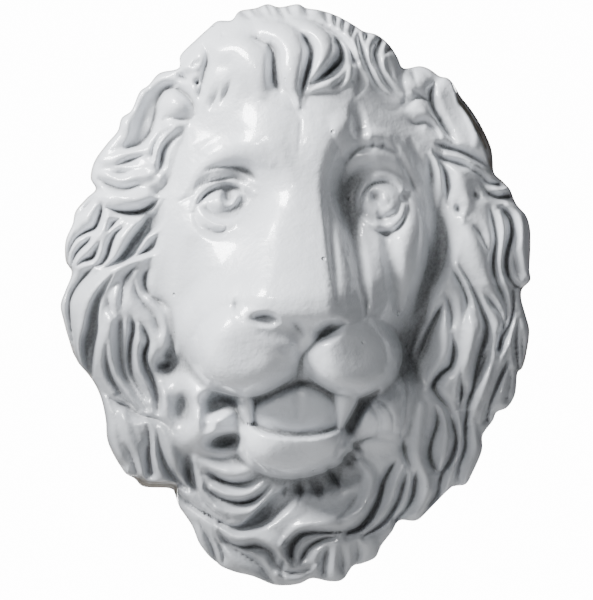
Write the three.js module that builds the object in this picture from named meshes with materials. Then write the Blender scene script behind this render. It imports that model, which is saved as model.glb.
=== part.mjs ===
import * as THREE from 'three';

// Lion head relief cast in one piece with a flat back.
// Depths are millimetres over the wall. Places across the face are carving units,
// counted from the middle of the plaque to the right and up.

// Overall sizes of the casting
const PLAQUE_WIDTH = 471;
const PLAQUE_HEIGHT = 586;
const RIM_DEPTH = 60;
const SHOWN_RIM_DEPTH = 12;
const RIM_SLOPE = 6;
const FLARE_SLOPE = 4.4;
const EDGE_SLOPE = 13;
const RIM_ROUNDING = 5;
const LEAST_DEPTH = 6;

// Depths of the main masses
const MANE_FOOT_DEPTH = 64;
const MANE_RISE = 40;
const CROWN_DEPTH = 136;
const SKULL_DEPTH = 128;
const FOREHEAD_DEPTH = 144;
const CHEEK_DEPTH = 136;
const MUZZLE_DEPTH = 172;
const NOSE_DEPTH = 206;
const PAD_DEPTH = 199;
const JAW_DEPTH = 126;
const CHIN_DEPTH = 163;
const TONGUE_DEPTH = 150;
const MOUTH_FLOOR_DEPTH = 128;
const EYE_DEPTH = 126;

// Widths across the face, in carving units
const EYE_RADIUS = 20;
const PAD_WIDTH = 57;
const PAD_HEIGHT = 51;
const CHIN_WIDTH = 60;
const CHIN_HEIGHT = 43;
const TONGUE_WIDTH = 38;
const TONGUE_HEIGHT = 28;

// Fullness of the rounded masses, and strength of the carving as a share of what is drawn
const MOUND_FULLNESS = 2.4;
const PAD_FULLNESS = 4.4;
const GROOVE_SHARPNESS = 1.25;
const GROOVE_CORE_SHARE = 0.6;
const GROOVE_SHOULDER = 3;
const POCKET_REACH = 1.25;
const POCKET_WALL = 0.9;
const ROLL_SOFTNESS = 2.4;
const ROLL_REACH = 1.35;
const LOCK_FULLNESS = 0.55;
const LOCK_SIDE_FALL = 3;
const LOCK_BLEND = 1.5;
const LOCK_ROUNDING = 8;
const LOCK_ROUNDING_REACH = 12;
const FULL_PARTING_WIDTH = 5;
const GROOVE_STRENGTH = 1;
const LOCK_STRENGTH = 1;

// Carving units across and up the drawn outline
const UNITS_WIDE = 471;
const UNITS_TALL = 586;

// Facets: the fine grid that is carved, the facets kept in the front, and limits on joining them
const GRID_STEPS = 240;
const FACET_BUDGET = 9200;
const RIM_WEIGHT = 2;
const REACH_LIMIT = 2;
const PLANE_TERMS = 10;
const SINGULAR_LIMIT = 1e-9;
const LEAST_FRONT_AREA = 0.02;
const PATH_STEPS = 7;
const OUTLINE_STEPS = 8;

// Outline clockwise from the top: across, up
const OUTLINE = [
  [0, 295], [9, 291], [22, 289], [38, 284], [55, 275], [66, 268], [80, 264], [92, 254], [100, 242],
  [106, 231], [122, 233], [132, 230], [142, 223], [152, 220], [168, 206], [180, 191], [190, 174],
  [198, 156], [200, 142], [199, 126], [207, 116], [213, 109], [219, 95], [229, 83], [233, 68],
  [233, 48], [232, 30], [233, 19], [225, 10], [224, 0], [228, -15], [232, -32], [229, -55],
  [225, -69], [220, -75], [219, -97], [212, -110], [202, -115], [198, -124], [188, -138],
  [187, -154], [177, -177], [170, -188], [155, -192], [140, -207], [122, -224], [104, -225],
  [95, -237], [85, -250], [79, -262], [66, -268], [56, -271], [46, -284], [33, -286], [15, -283],
  [3, -288], [-10, -290], [-25, -289], [-45, -281], [-65, -276], [-82, -267], [-98, -248],
  [-107, -225], [-124, -201], [-131, -194], [-158, -192], [-168, -180], [-180, -163],
  [-190, -142], [-192, -120], [-197, -98], [-206, -80], [-222, -60], [-229, -40], [-234, -22],
  [-237, -6], [-232, 9], [-226, 26], [-232, 38], [-232, 58], [-225, 75], [-222, 88], [-211, 101],
  [-202, 110], [-207, 121], [-203, 138], [-191, 155], [-180, 168], [-176, 181], [-166, 189],
  [-158, 207], [-149, 214], [-138, 226], [-119, 231], [-117, 244], [-101, 260], [-90, 270],
  [-80, 278], [-66, 279], [-58, 288], [-42, 291], [-30, 295], [-18, 292],
];

// Rise of the mane from the rim inward: share of the way in, share of the rise
const MANE_PROFILE = [
  [0, 0], [0.02, 0.24], [0.05, 0.42], [0.1, 0.58], [0.2, 0.78], [0.35, 0.91], [0.55, 0.97], [1, 1],
];

// Carving rows.
// mound, pad: across, up, half width, half height, foot depth, top depth, turn in degrees, blend
// swell: across, up, half width, half height, rise (negative sinks), turn in degrees
// groove, parting, hollow, roll: strength as a share of the width, then points of across, up, width
// lock: strength, points, lift over the hair at the start and at the end
const BODY = [
  ['mound', -8, 206, 132, 96, 60, CROWN_DEPTH, 0, 20],
  ['mound', 0, 30, 156, 210, 60, SKULL_DEPTH, 0, 20],
];

const LOCKS = [
  // left side
  ['roll', 0.3, [[-222, 80, 8], [-229, 60, 12], [-232, 44, 8]]],
  ['roll', 0.3, [[-186, 84, 6], [-192, 66, 10], [-206, 48, 9], [-219, 36, 5]]],
  ['roll', 0.3, [[-178, 72, 8], [-190, 56, 9], [-195, 44, 9], [-206, 34, 6]]],
  ['roll', 0.35, [[-160, 74, 8], [-172, 60, 14], [-180, 46, 13], [-188, 36, 8]]],
  ['roll', 0.3, [[-138, 66, 6], [-150, 58, 9], [-158, 50, 9], [-168, 40, 5]]],
  ['roll', 0.4, [[-143, 42, 4], [-153, 39, 12], [-172, 30, 17], [-190, 18, 18], [-206, 0, 18],
    [-213, -25, 18], [-216, -50, 13], [-213, -68, 6]]],
  ['roll', 0.3, [[-226, 22, 6], [-231, 4, 9], [-232, -20, 10], [-229, -45, 8]]],
  ['roll', 0.35, [[-160, 26, 8], [-172, 14, 11], [-180, -4, 13], [-184, -24, 15], [-190, -50, 16],
    [-190, -76, 13], [-182, -92, 8]]],
  ['roll', 0.3, [[-146, 0, 10], [-134, -20, 13], [-130, -45, 11], [-134, -70, 6]]],
  ['roll', 0.4, [[-156, -26, 6], [-157, -50, 9], [-156, -70, 9], [-149, -83, 7], [-141, -96, 3]]],
  ['roll', 0.3, [[-183, -42, 5], [-183, -60, 8], [-179, -76, 9], [-168, -92, 8], [-157, -107, 3]]],
  ['roll', 0.5, [[-118, -10, 5], [-116, -35, 8], [-118, -58, 4]]],
  ['roll', 0.5, [[-133, -86, 8], [-128, -104, 10], [-123, -122, 5]]],
  ['roll', 0.3, [[-190, -98, 8], [-184, -125, 16], [-178, -150, 13], [-170, -172, 6]]],
  ['roll', 0.35, [[-172, -112, 10], [-166, -140, 16], [-158, -165, 14], [-152, -180, 6]]],
  ['roll', 0.45, [[-150, -118, 8], [-143, -135, 15], [-139, -155, 15], [-134, -172, 13],
    [-125, -187, 11], [-112, -200, 6]]],
  ['roll', 0.35, [[-134, -126, 8], [-126, -145, 18], [-119, -165, 17], [-112, -182, 8]]],
  ['roll', 0.35, [[-103, -155, 8], [-98, -180, 12], [-88, -200, 12], [-72, -214, 8]]],
  // beard
  ['roll', 0.4, [[-100, -158, 10], [-80, -166, 20], [-60, -170, 23], [-42, -164, 14]]],
  ['roll', 0.4, [[-84, -186, 8], [-66, -192, 14], [-48, -190, 14], [-34, -182, 10]]],
  ['roll', 0.35, [[-80, -206, 8], [-60, -210, 12], [-40, -204, 11], [-26, -190, 8]]],
  ['roll', 0.45, [[-78, -226, 8], [-62, -236, 17], [-42, -236, 19], [-22, -242, 20], [-10, -258, 11]]],
  ['roll', 0.3, [[-72, -250, 8], [-52, -264, 16], [-34, -278, 10]]],
  ['roll', 0.45, [[-20, -272, 8], [-6, -277, 10], [10, -272, 9], [20, -264, 6]]],
  ['roll', 0.45, [[62, -160, 10], [72, -178, 17], [68, -200, 20], [50, -214, 22], [24, -220, 22],
    [2, -226, 16], [-14, -240, 10]]],
  ['roll', 0.45, [[105, -164, 5], [97, -180, 9], [90, -200, 10], [80, -218, 9], [66, -230, 4]]],
  ['roll', 0.4, [[111, -172, 4], [108, -190, 7], [102, -206, 7], [92, -218, 4]]],
  ['roll', 0.4, [[122, -104, 10], [118, -130, 16], [118, -155, 18], [126, -175, 16], [128, -192, 14],
    [118, -212, 8]]],
  ['roll', 0.45, [[142, -110, 5], [147, -130, 11], [145, -150, 13], [140, -168, 6]]],
  ['roll', 0.4, [[158, -112, 6], [162, -135, 9], [160, -155, 9], [152, -175, 9], [146, -192, 7],
    [134, -208, 4]]],
  ['roll', 0.3, [[172, -120, 8], [176, -145, 12], [170, -170, 10], [164, -186, 6]]],
  // right side
  ['roll', 0.4, [[208, 94, 6], [220, 80, 10], [222, 60, 12], [224, 40, 12], [228, 24, 8]]],
  ['roll', 0.4, [[200, 86, 6], [203, 66, 9], [201, 46, 9], [200, 28, 10], [208, 8, 11], [211, -10, 8],
    [208, -26, 4]]],
  ['roll', 0.25, [[158, 84, 4], [164, 74, 16], [172, 58, 28], [178, 36, 26], [190, 12, 17], [200, -8, 8]]],
  ['roll', 0.35, [[156, 34, 6], [170, 8, 9], [178, -14, 10], [180, -34, 8]]],
  ['roll', 0.4, [[166, -4, 4], [170, -18, 14], [172, -32, 20], [168, -56, 18], [160, -76, 12],
    [156, -96, 8]]],
  ['roll', 0.45, [[144, -12, 4], [144, -30, 14], [144, -50, 17], [134, -70, 13], [128, -88, 6]]],
  ['roll', 0.4, [[198, -36, 5], [192, -55, 11], [186, -74, 13], [180, -94, 12], [174, -112, 9],
    [168, -124, 5]]],
  ['roll', 0.4, [[216, -14, 5], [211, -38, 9], [204, -58, 10], [196, -78, 9], [188, -100, 8],
    [180, -120, 6]]],
  ['roll', 0.35, [[214, -62, 5], [212, -84, 7], [204, -104, 6]]],
  ['roll', 0.4, [[131, 144, 4], [138, 130, 8], [139, 110, 10], [138, 92, 6]]],
  ['roll', 0.4, [[118, 148, 6], [126, 134, 9], [126, 118, 5]]],
  ['roll', 0.25, [[148, 136, 4], [160, 120, 18], [166, 100, 21], [163, 84, 10], [162, 74, 4]]],
  ['roll', 0.4, [[146, 142, 5], [166, 137, 8], [182, 125, 8], [196, 118, 8]]],
  ['roll', 0.5, [[184, 120, 5], [198, 110, 8], [210, 110, 8]]],
];

const PARTINGS = [
  // gap between the right cheek and the hair
  ['roll', -0.7, [[110, 154, 8], [122, 130, 22], [129, 106, 28], [134, 84, 32], [138, 60, 34],
    [135, 36, 32], [126, 12, 26], [116, -10, 22], [109, -32, 20], [108, -54, 10]]],
  ['swell', -124, -70, 26, 26, -16, 0],
  // left side
  ['parting', 1.1, [[-194, 92, 3], [-196, 82, 7], [-201, 71, 7], [-211, 66, 6], [-220, 60, 4],
    [-227, 48, 3], [-230, 33, 3]]],
  ['parting', 1.0, [[-203, 63, 1], [-208, 57, 5], [-216, 50, 6], [-222, 42, 5], [-226, 30, 3]]],
  ['parting', 1.0, [[-194, 57, 1], [-199, 48, 4], [-203, 41, 6], [-212, 38, 4], [-220, 32, 1]]],
  ['parting', 1.0, [[-170, 71, 1], [-180, 64, 4], [-185, 52, 6], [-187, 44, 6], [-192, 36, 4],
    [-202, 31, 1]]],
  ['parting', 1.0, [[-137, 62, 4], [-142, 53, 8], [-148, 48, 5], [-158, 42, 3], [-165, 37, 1]]],
  ['parting', 1.1, [[-188, 90, 2], [-176, 86, 5], [-163, 85, 8], [-152, 87, 8], [-143, 92, 6],
    [-136, 98, 2]]],
  ['parting', 0.9, [[-200, 33, 1], [-210, 24, 5], [-220, 12, 6], [-226, 0, 6], [-227, -15, 5],
    [-224, -40, 4], [-222, -60, 4]]],
  ['parting', 0.8, [[-155, 36, 1], [-165, 25, 4], [-171, 15, 4], [-173, 0, 2], [-173, -5, 1]]],
  ['parting', 0.7, [[-160, 18, 1], [-158, 6, 3], [-150, -6, 4], [-141, -16, 4], [-136, -28, 4],
    [-134, -38, 1]]],
  ['parting', 0.8, [[-146, 30, 2], [-150, 22, 5], [-149, 10, 5], [-140, 0, 4], [-128, -6, 6],
    [-122, -15, 6], [-121, -40, 8], [-126, -55, 13]]],
  ['parting', 1.0, [[-163, -18, 2], [-162, -30, 7], [-165, -45, 9], [-166, -60, 10], [-164, -74, 9],
    [-158, -86, 7], [-150, -98, 4]]],
  ['parting', 1.1, [[-155, -22, 1], [-150, -32, 4], [-147, -42, 5], [-151, -55, 8], [-149, -68, 10],
    [-143, -82, 11], [-138, -98, 11], [-137, -110, 4]]],
  ['parting', 0.9, [[-188, -42, 1], [-189, -60, 4], [-186, -76, 6], [-178, -90, 7], [-168, -102, 7],
    [-158, -111, 5]]],
  ['parting', 0.9, [[-111, -12, 1], [-110, -30, 6], [-110, -45, 9], [-114, -58, 14], [-123, -66, 18],
    [-134, -67, 10]]],
  ['parting', 0.3, [[-174, -22, 4], [-175, -48, 14], [-172, -72, 14], [-160, -92, 14],
    [-149, -108, 9]]],
  // lower left
  ['parting', 1.0, [[-193, -92, 1], [-182, -101, 3], [-170, -107, 6], [-160, -113, 7],
    [-152, -116, 5], [-140, -118, 3], [-128, -124, 3], [-115, -135, 1]]],
  ['parting', 0.9, [[-148, -122, 2], [-146, -140, 7], [-147, -155, 8], [-146, -172, 9]]],
  ['parting', 0.9, [[-172, -140, 1], [-167, -150, 4], [-163, -160, 6], [-160, -172, 5],
    [-158, -182, 3]]],
  ['parting', 0.9, [[-138, -130, 1], [-136, -145, 3], [-133, -158, 5], [-128, -170, 5],
    [-120, -180, 6], [-110, -188, 3]]],
  ['parting', 0.9, [[-108, -155, 4], [-108, -172, 11], [-105, -182, 10], [-98, -192, 3]]],
  ['parting', 0.9, [[-131, -180, 2], [-122, -190, 5], [-112, -200, 5], [-100, -208, 4],
    [-88, -214, 4], [-75, -221, 3]]],
  // beard
  ['parting', 0.8, [[-100, -150, 1], [-88, -153, 4], [-75, -157, 3], [-62, -154, 3], [-50, -158, 4],
    [-38, -155, 3]]],
  ['parting', 1.0, [[-88, -171, 3], [-78, -178, 6], [-65, -182, 7], [-50, -181, 8], [-38, -174, 7],
    [-30, -165, 6], [-28, -159, 1]]],
  ['parting', 1.0, [[-90, -187, 2], [-78, -196, 4], [-62, -201, 5], [-48, -200, 5], [-36, -193, 5],
    [-28, -184, 4], [-22, -176, 1]]],
  ['parting', 0.8, [[-97, -222, 2], [-90, -235, 4], [-84, -250, 5], [-80, -268, 5]]],
  ['parting', 0.9, [[-78, -228, 2], [-70, -240, 5], [-55, -245, 5], [-40, -244, 7], [-28, -250, 5],
    [-22, -262, 4], [-14, -270, 3], [0, -272, 3], [12, -268, 2]]],
  ['parting', 0.8, [[-76, -240, 2], [-62, -248, 4], [-50, -256, 4], [-38, -264, 3], [-30, -274, 3],
    [-22, -284, 2]]],
  ['parting', 1.1, [[46, -229, 2], [30, -230, 4], [15, -230, 6], [3, -233, 9], [-4, -241, 10],
    [-7, -251, 8], [-4, -260, 3]]],
  ['parting', 0.9, [[40, -234, 2], [24, -238, 6], [12, -245, 6], [6, -254, 5], [2, -262, 1]]],
  ['parting', 0.8, [[30, -246, 3], [27, -258, 6], [26, -272, 4]]],
  ['parting', 1.1, [[98, -158, 1], [92, -167, 5], [85, -182, 8], [80, -198, 9], [72, -214, 9],
    [62, -226, 8], [50, -231, 4]]],
  ['parting', 1.0, [[107, -172, 2], [104, -186, 6], [100, -200, 7], [92, -214, 6], [80, -226, 5],
    [66, -234, 3]]],
  ['parting', 0.9, [[117, -168, 1], [116, -182, 6], [114, -196, 8], [108, -208, 6], [98, -220, 5]]],
  ['parting', 0.9, [[136, -106, 2], [138, -122, 5], [132, -142, 6], [131, -155, 7], [135, -166, 5],
    [142, -171, 3]]],
  ['parting', 1.0, [[148, -110, 1], [154, -124, 5], [157, -140, 7], [153, -156, 7], [145, -170, 6],
    [141, -182, 6], [139, -194, 5], [130, -206, 3], [125, -214, 2]]],
  ['parting', 1.0, [[168, -112, 4], [166, -130, 7], [166, -148, 9], [160, -165, 6], [158, -185, 6]]],
  ['parting', 0.8, [[115, -98, 2], [112, -112, 5], [110, -126, 5], [104, -138, 5], [106, -152, 4],
    [111, -164, 2]]],
  // right side
  ['parting', 1.1, [[203, 90, 3], [211, 80, 8], [213, 66, 8], [209, 50, 7], [207, 38, 8], [209, 24, 7],
    [216, 14, 6], [222, 11, 3]]],
  ['parting', 1.0, [[190, 90, 2], [194, 74, 4], [196, 58, 4], [194, 42, 5], [194, 28, 5], [198, 14, 4],
    [204, 2, 4], [208, -12, 4], [205, -28, 3]]],
  ['parting', 0.9, [[158, 34, 1], [168, 18, 3], [175, 4, 4], [181, -10, 6], [187, -25, 9],
    [186, -38, 10], [181, -54, 10], [177, -72, 9], [174, -88, 8], [169, -102, 5], [167, -112, 3]]],
  ['parting', 0.9, [[214, 8, 4], [214, -10, 5], [210, -26, 6], [203, -38, 6], [199, -50, 4]]],
  ['parting', 1.0, [[152, -36, 1], [154, -52, 5], [151, -66, 6], [142, -74, 7], [135, -84, 8],
    [138, -94, 6], [146, -104, 4], [153, -114, 2]]],
  ['parting', 1.0, [[143, -4, 2], [137, -18, 6], [130, -34, 7], [125, -48, 6], [120, -60, 2]]],
  ['parting', 0.8, [[128, -2, 1], [124, -20, 5], [114, -38, 6]]],
  ['parting', 0.8, [[160, -66, 1], [161, -80, 4], [162, -94, 5], [160, -108, 2]]],
  ['parting', 0.9, [[188, -42, 1], [186, -58, 5], [180, -74, 5], [177, -88, 2]]],
  ['parting', 0.9, [[209, -50, 2], [206, -66, 5], [200, -80, 7], [194, -94, 6], [190, -106, 4],
    [188, -120, 4]]],
  ['parting', 1.0, [[219, -20, 2], [217, -36, 5], [218, -54, 6], [220, -68, 5]]],
  ['parting', 1.0, [[132, 146, 1], [140, 136, 3], [146, 124, 5], [148, 110, 5], [148, 96, 3],
    [151, 84, 1]]],
  ['parting', 0.9, [[134, 154, 1], [146, 150, 6], [160, 146, 6], [174, 140, 7], [186, 134, 8],
    [196, 128, 8]]],
  ['parting', 0.8, [[132, 147, 1], [144, 138, 6], [156, 134, 6], [170, 130, 3]]],
  ['parting', 0.8, [[166, 130, 2], [180, 124, 5], [190, 115, 6], [200, 114, 6]]],
  ['parting', 0.9, [[180, 118, 1], [188, 106, 4], [198, 101, 7], [210, 102, 8]]],
  // deep pockets
  ['hollow', 1.0, [[-131, 96, 5], [-136, 82, 14], [-144, 74, 18], [-152, 66, 15], [-160, 55, 15],
    [-168, 44, 13], [-178, 36, 8], [-192, 29, 2]]],
  ['hollow', 1.0, [[-181, 24, 2], [-190, 12, 6], [-197, 0, 8], [-201, -15, 11], [-203, -30, 14],
    [-207, -45, 16], [-207, -60, 13], [-205, -76, 5]]],
  ['hollow', 0.9, [[-78, -221, 4], [-60, -226, 8], [-45, -222, 14], [-32, -213, 20], [-20, -202, 22],
    [-8, -192, 18], [2, -180, 6]]],
];

const CROWN = [
  // forelock
  ['roll', 0.2, [[-112, 226, 10], [-86, 244, 30], [-56, 246, 40], [-40, 222, 38], [-36, 198, 18]]],
  ['lock', 0.34, [[-62, 256, 10], [-40, 264, 20], [-16, 258, 28], [-4, 240, 29], [-4, 218, 24],
    [1, 198, 12], [2, 186, 3]], -8, 8],
  ['lock', 0.36, [[-34, 274, 8], [-8, 272, 16], [14, 262, 22], [25, 246, 24], [21, 226, 20],
    [12, 211, 10], [7, 199, 3]], -8, 8],
  ['lock', 0.36, [[14, 272, 6], [36, 260, 10], [50, 242, 13], [50, 221, 15], [38, 208, 14],
    [22, 204, 8], [8, 199, 3]], -6, 6],
  ['parting', 0.9, [[-32, 252, 1], [-24, 240, 6], [-23, 224, 7], [-22, 210, 6], [-17, 199, 2]]],
  ['parting', 1.1, [[4, 258, 1], [10, 250, 6], [14, 240, 8], [12, 226, 7], [8, 212, 7], [5, 200, 5],
    [4, 190, 3], [3, 180, 2]]],
  ['parting', 1.1, [[36, 256, 2], [42, 246, 8], [42, 234, 10], [34, 224, 8], [24, 216, 5],
    [12, 207, 3]]],
  ['parting', 0.7, [[48, 222, 1], [44, 212, 4], [38, 206, 4], [32, 203, 1]]],
  ['parting', 0.8, [[8, 276, 1], [26, 268, 3], [40, 258, 4], [50, 246, 4], [55, 232, 5]]],
  ['roll', -0.5, [[52, 240, 4], [58, 226, 12], [61, 212, 15], [58, 198, 5]]],
  ['roll', 0.3, [[34, 270, 6], [54, 254, 10], [60, 238, 8]]],
  ['parting', 0.8, [[60, 262, 3], [62, 248, 4], [66, 234, 5], [73, 218, 5], [82, 205, 4], [96, 197, 1]]],
  ['parting', 0.8, [[77, 252, 3], [76, 240, 4], [79, 228, 4], [86, 214, 4], [95, 203, 2]]],
  ['roll', 0.3, [[70, 256, 8], [69, 240, 12], [76, 222, 12], [88, 206, 8], [102, 196, 4]]],
  ['roll', 0.3, [[88, 250, 10], [88, 232, 18], [96, 212, 14], [106, 198, 6]]],
  ['groove', 0.4, [[58, 204, 3], [66, 194, 6], [80, 187, 7], [94, 184, 6], [106, 190, 3]]],
  // short tufts along the top edge
  ['parting', 1.0, [[27, 293, 6], [28, 284, 5], [30, 271, 2]]],
  ['parting', 1.0, [[39, 289, 6], [38, 280, 6], [38, 267, 2]]],
  ['parting', 1.0, [[51, 284, 6], [46, 275, 6], [45, 262, 2]]],
  ['parting', 1.0, [[62, 277, 6], [56, 269, 6], [53, 257, 2]]],
  ['parting', 1.0, [[73, 272, 6], [69, 263, 6], [67, 250, 2]]],
  ['parting', 1.0, [[89, 264, 6], [82, 256, 6], [78, 244, 3]]],
  ['parting', 1.1, [[101, 254, 6], [92, 249, 6], [87, 242, 2]]],
  ['parting', 0.7, [[-24, 297, 6], [-18, 288, 6], [-12, 276, 2]]],
  ['parting', 0.4, [[-60, 291, 4], [-52, 282, 4], [-44, 274, 1]]],
  ['parting', 0.4, [[-43, 294, 4], [-37, 284, 4], [-30, 276, 1]]],
  ['roll', 0.12, [[-100, 250, 10], [-84, 266, 24], [-60, 272, 26], [-34, 274, 16]]],
  // left ear
  ['roll', 0.25, [[-100, 226, 8], [-124, 224, 20], [-148, 208, 24], [-166, 186, 26], [-180, 162, 22],
    [-194, 142, 14]]],
  ['roll', -0.5, [[-120, 212, 4], [-134, 210, 12], [-146, 198, 20], [-151, 180, 24], [-157, 163, 20],
    [-168, 151, 8]]],
  ['roll', 0.3, [[-122, 208, 10], [-121, 192, 36], [-122, 174, 24]]],
  ['parting', 0.8, [[-99, 177, 1], [-102, 190, 4], [-109, 200, 5], [-121, 208, 5], [-132, 207, 4],
    [-139, 197, 4], [-141, 184, 5], [-146, 166, 5], [-156, 154, 5], [-170, 149, 2]]],
  ['roll', 0.4, [[-110, 172, 8], [-130, 162, 16], [-140, 146, 18], [-138, 128, 16], [-132, 112, 8]]],
  ['parting', 0.8, [[-121, 169, 1], [-132, 163, 3], [-140, 153, 4], [-143, 142, 4], [-140, 134, 1]]],
  ['parting', 0.9, [[-112, 162, 1], [-125, 155, 3], [-132, 145, 4], [-134, 133, 5], [-137, 122, 2]]],
  ['parting', 0.9, [[-110, 160, 2], [-115, 148, 6], [-120, 134, 6], [-123, 122, 5], [-130, 111, 6],
    [-137, 104, 7]]],
  ['groove', 0.8, [[-136, 174, 2], [-128, 178, 5], [-118, 177, 7], [-106, 176, 6], [-100, 180, 3]]],
  ['roll', 0.25, [[-146, 146, 10], [-168, 142, 16], [-192, 136, 12]]],
  ['parting', 0.7, [[-150, 142, 1], [-165, 137, 4], [-179, 132, 1]]],
  ['roll', 0.25, [[-146, 122, 12], [-170, 118, 18], [-196, 122, 12]]],
  ['parting', 0.5, [[-156, 112, 2], [-172, 108, 5], [-186, 112, 5], [-196, 119, 3]]],
  ['roll', 0.3, [[-134, 104, 8], [-156, 98, 20], [-180, 98, 22], [-200, 104, 12]]],
  // right ear
  ['roll', 0.22, [[112, 232, 10], [114, 216, 28], [116, 200, 22]]],
  ['roll', 0.25, [[104, 186, 10], [118, 186, 24], [136, 176, 12]]],
  ['roll', 0.2, [[120, 232, 8], [140, 226, 18], [158, 212, 20], [171, 194, 20], [178, 172, 18],
    [176, 152, 8]]],
  ['swell', 156, 186, 26, 40, -7, 24],
  ['parting', 0.9, [[136, 214, 2], [132, 202, 6], [135, 188, 8], [141, 177, 7], [149, 164, 5],
    [156, 154, 2]]],
  ['groove', 0.5, [[102, 190, 3], [106, 199, 5], [104, 210, 5], [104, 222, 5], [108, 231, 6]]],
  ['parting', 0.5, [[112, 206, 1], [122, 200, 4], [131, 196, 3]]],
  ['groove', 0.7, [[176, 210, 6], [168, 200, 5], [167, 190, 2]]],
  ['groove', 0.7, [[188, 192, 6], [177, 187, 5], [172, 178, 2]]],
  ['groove', 0.7, [[196, 172, 6], [184, 172, 5], [176, 166, 2]]],
];

const FACE = [
  ['mound', 2, 140, 124, 92, 84, FOREHEAD_DEPTH, 0, 22],
  ['mound', -70, 50, 76, 138, 74, CHEEK_DEPTH + 2, 5, 26],
  ['mound', 76, 54, 66, 122, 74, CHEEK_DEPTH - 2, -5, 24],
  ['mound', -2, -126, 96, 92, 60, JAW_DEPTH, 0, 22],
  ['mound', -22, -4, 106, 112, 92, MUZZLE_DEPTH, 8, 26],
  ['mound', 36, -12, 84, 92, 92, MUZZLE_DEPTH - 2, -8, 22],
  ['mound', -52, -26, 62, 66, 110, MUZZLE_DEPTH + 8, 20, 26],
  ['mound', 50, -30, 54, 56, 110, MUZZLE_DEPTH + 4, -20, 20],
];

const EYES = [
  // eye hollows
  ['swell', -68, 104, 70, 54, -9, -12],
  ['swell', -42, 110, 40, 46, -9, 0],
  ['swell', 80, 98, 64, 62, -13, 8],
  ['swell', 49, 112, 31, 64, -15, -6],
  // brow folds
  ['roll', 0.15, [[-114, 100, 8], [-98, 122, 24], [-74, 137, 32], [-48, 141, 30], [-26, 130, 12]]],
  ['roll', 0.26, [[44, 140, 6], [56, 152, 14], [72, 158, 18], [88, 155, 17], [102, 144, 12], [111, 130, 6]]],
  ['roll', 0.26, [[46, 114, 6], [58, 131, 16], [76, 138, 20], [93, 134, 18], [106, 122, 10], [110, 110, 4]]],
  ['groove', 0.6, [[46, 130, 2], [57, 143, 5], [70, 148, 5], [86, 147, 5], [98, 140, 3], [104, 132, 1]]],
  ['groove', 0.4, [[-92, 123, 2], [-82, 127, 5], [-68, 128, 7], [-54, 126, 8], [-42, 120, 6], [-34, 112, 2]]],
  // eyeballs
  ['mound', -73, 96, EYE_RADIUS + 4, EYE_RADIUS, EYE_DEPTH - 6, EYE_DEPTH + 6, 0, 5],
  ['mound', 82, 94, EYE_RADIUS + 2, EYE_RADIUS + 1, EYE_DEPTH - 9, EYE_DEPTH + 1, 0, 4],
  // lids
  ['roll', 0.3, [[-102, 86, 4], [-97, 101, 9], [-87, 112, 12], [-74, 117, 13], [-59, 114, 12],
    [-42, 102, 6]]],
  ['roll', 0.2, [[-96, 90, 4], [-89, 79, 9], [-76, 73, 11], [-61, 75, 10], [-44, 86, 4]]],
  ['roll', 0.36, [[56, 86, 4], [61, 102, 9], [70, 114, 11], [84, 119, 12], [98, 113, 11], [108, 98, 4]]],
  ['roll', 0.36, [[62, 80, 4], [73, 72, 10], [88, 71, 12], [100, 80, 10], [105, 93, 4]]],
  ['groove', 0.4, [[-101, 98, 1], [-98, 109, 3], [-89, 117, 5], [-75, 122, 5], [-60, 120, 4],
    [-46, 112, 1]]],
  ['groove', 0.8, [[-95, 92, 2], [-89, 101, 6], [-80, 107, 7], [-70, 110, 7], [-57, 107, 4]]],
  ['groove', 0.7, [[61, 90, 2], [64, 102, 5], [73, 111, 6], [86, 112, 5], [98, 106, 3]]],
  ['groove', 0.3, [[-91, 95, 1], [-89, 87, 4], [-81, 82, 4], [-66, 82, 4], [-54, 88, 4]]],
  ['groove', 0.5, [[64, 84, 2], [76, 79, 3], [88, 80, 3], [97, 87, 4], [101, 97, 4], [103, 103, 3]]],
  // pupils
  ['swell', -67, 101, 11, 12, -6, 20],
  ['swell', -74, 95, 7, 7, 1.5, 0],
  ['swell', 79, 96, 14, 14, -5.5, 0],
  ['swell', 84, 96, 7, 8, 4, 0],
  ['swell', 105, 99, 6, 9, -5, 0],
  // under the eyes
  ['roll', -0.22, [[-100, 84, 3], [-96, 72, 8], [-86, 64, 11], [-73, 62, 11], [-60, 67, 5]]],
  ['groove', 0.6, [[68, 71, 2], [80, 64, 5], [93, 66, 6], [103, 75, 6], [108, 90, 4], [108, 100, 4],
    [112, 106, 2]]],
  ['groove', 0.5, [[-99, 101, 2], [-108, 98, 3], [-115, 94, 2], [-121, 85, 1]]],
  ['groove', 0.45, [[104, 132, 2], [116, 108, 9], [125, 78, 15], [129, 44, 18], [123, 10, 16],
    [116, -14, 6]]],
  ['groove', 0.6, [[97, 138, 1], [105, 126, 8], [112, 112, 8], [116, 100, 2]]],
  // cheeks
  ['swell', 112, 58, 28, 62, 10, -5],
  ['swell', -104, 18, 18, 50, -4, -8],
  ['roll', -0.3, [[79, 84, 6], [86, 62, 16], [91, 38, 21], [95, 14, 20], [97, -10, 10]]],
  // folds beside the nose
  ['roll', -0.3, [[26, 104, 6], [29, 80, 11], [32, 56, 12], [34, 34, 11], [36, 12, 8], [38, -4, 4]]],
  ['roll', 0.2, [[38, 92, 6], [42, 64, 14], [45, 36, 16], [47, 12, 14], [46, -6, 6]]],
  ['roll', -0.28, [[52, 88, 6], [56, 60, 14], [60, 32, 16], [63, 8, 14], [64, -10, 8], [62, -22, 4]]],
];

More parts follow.
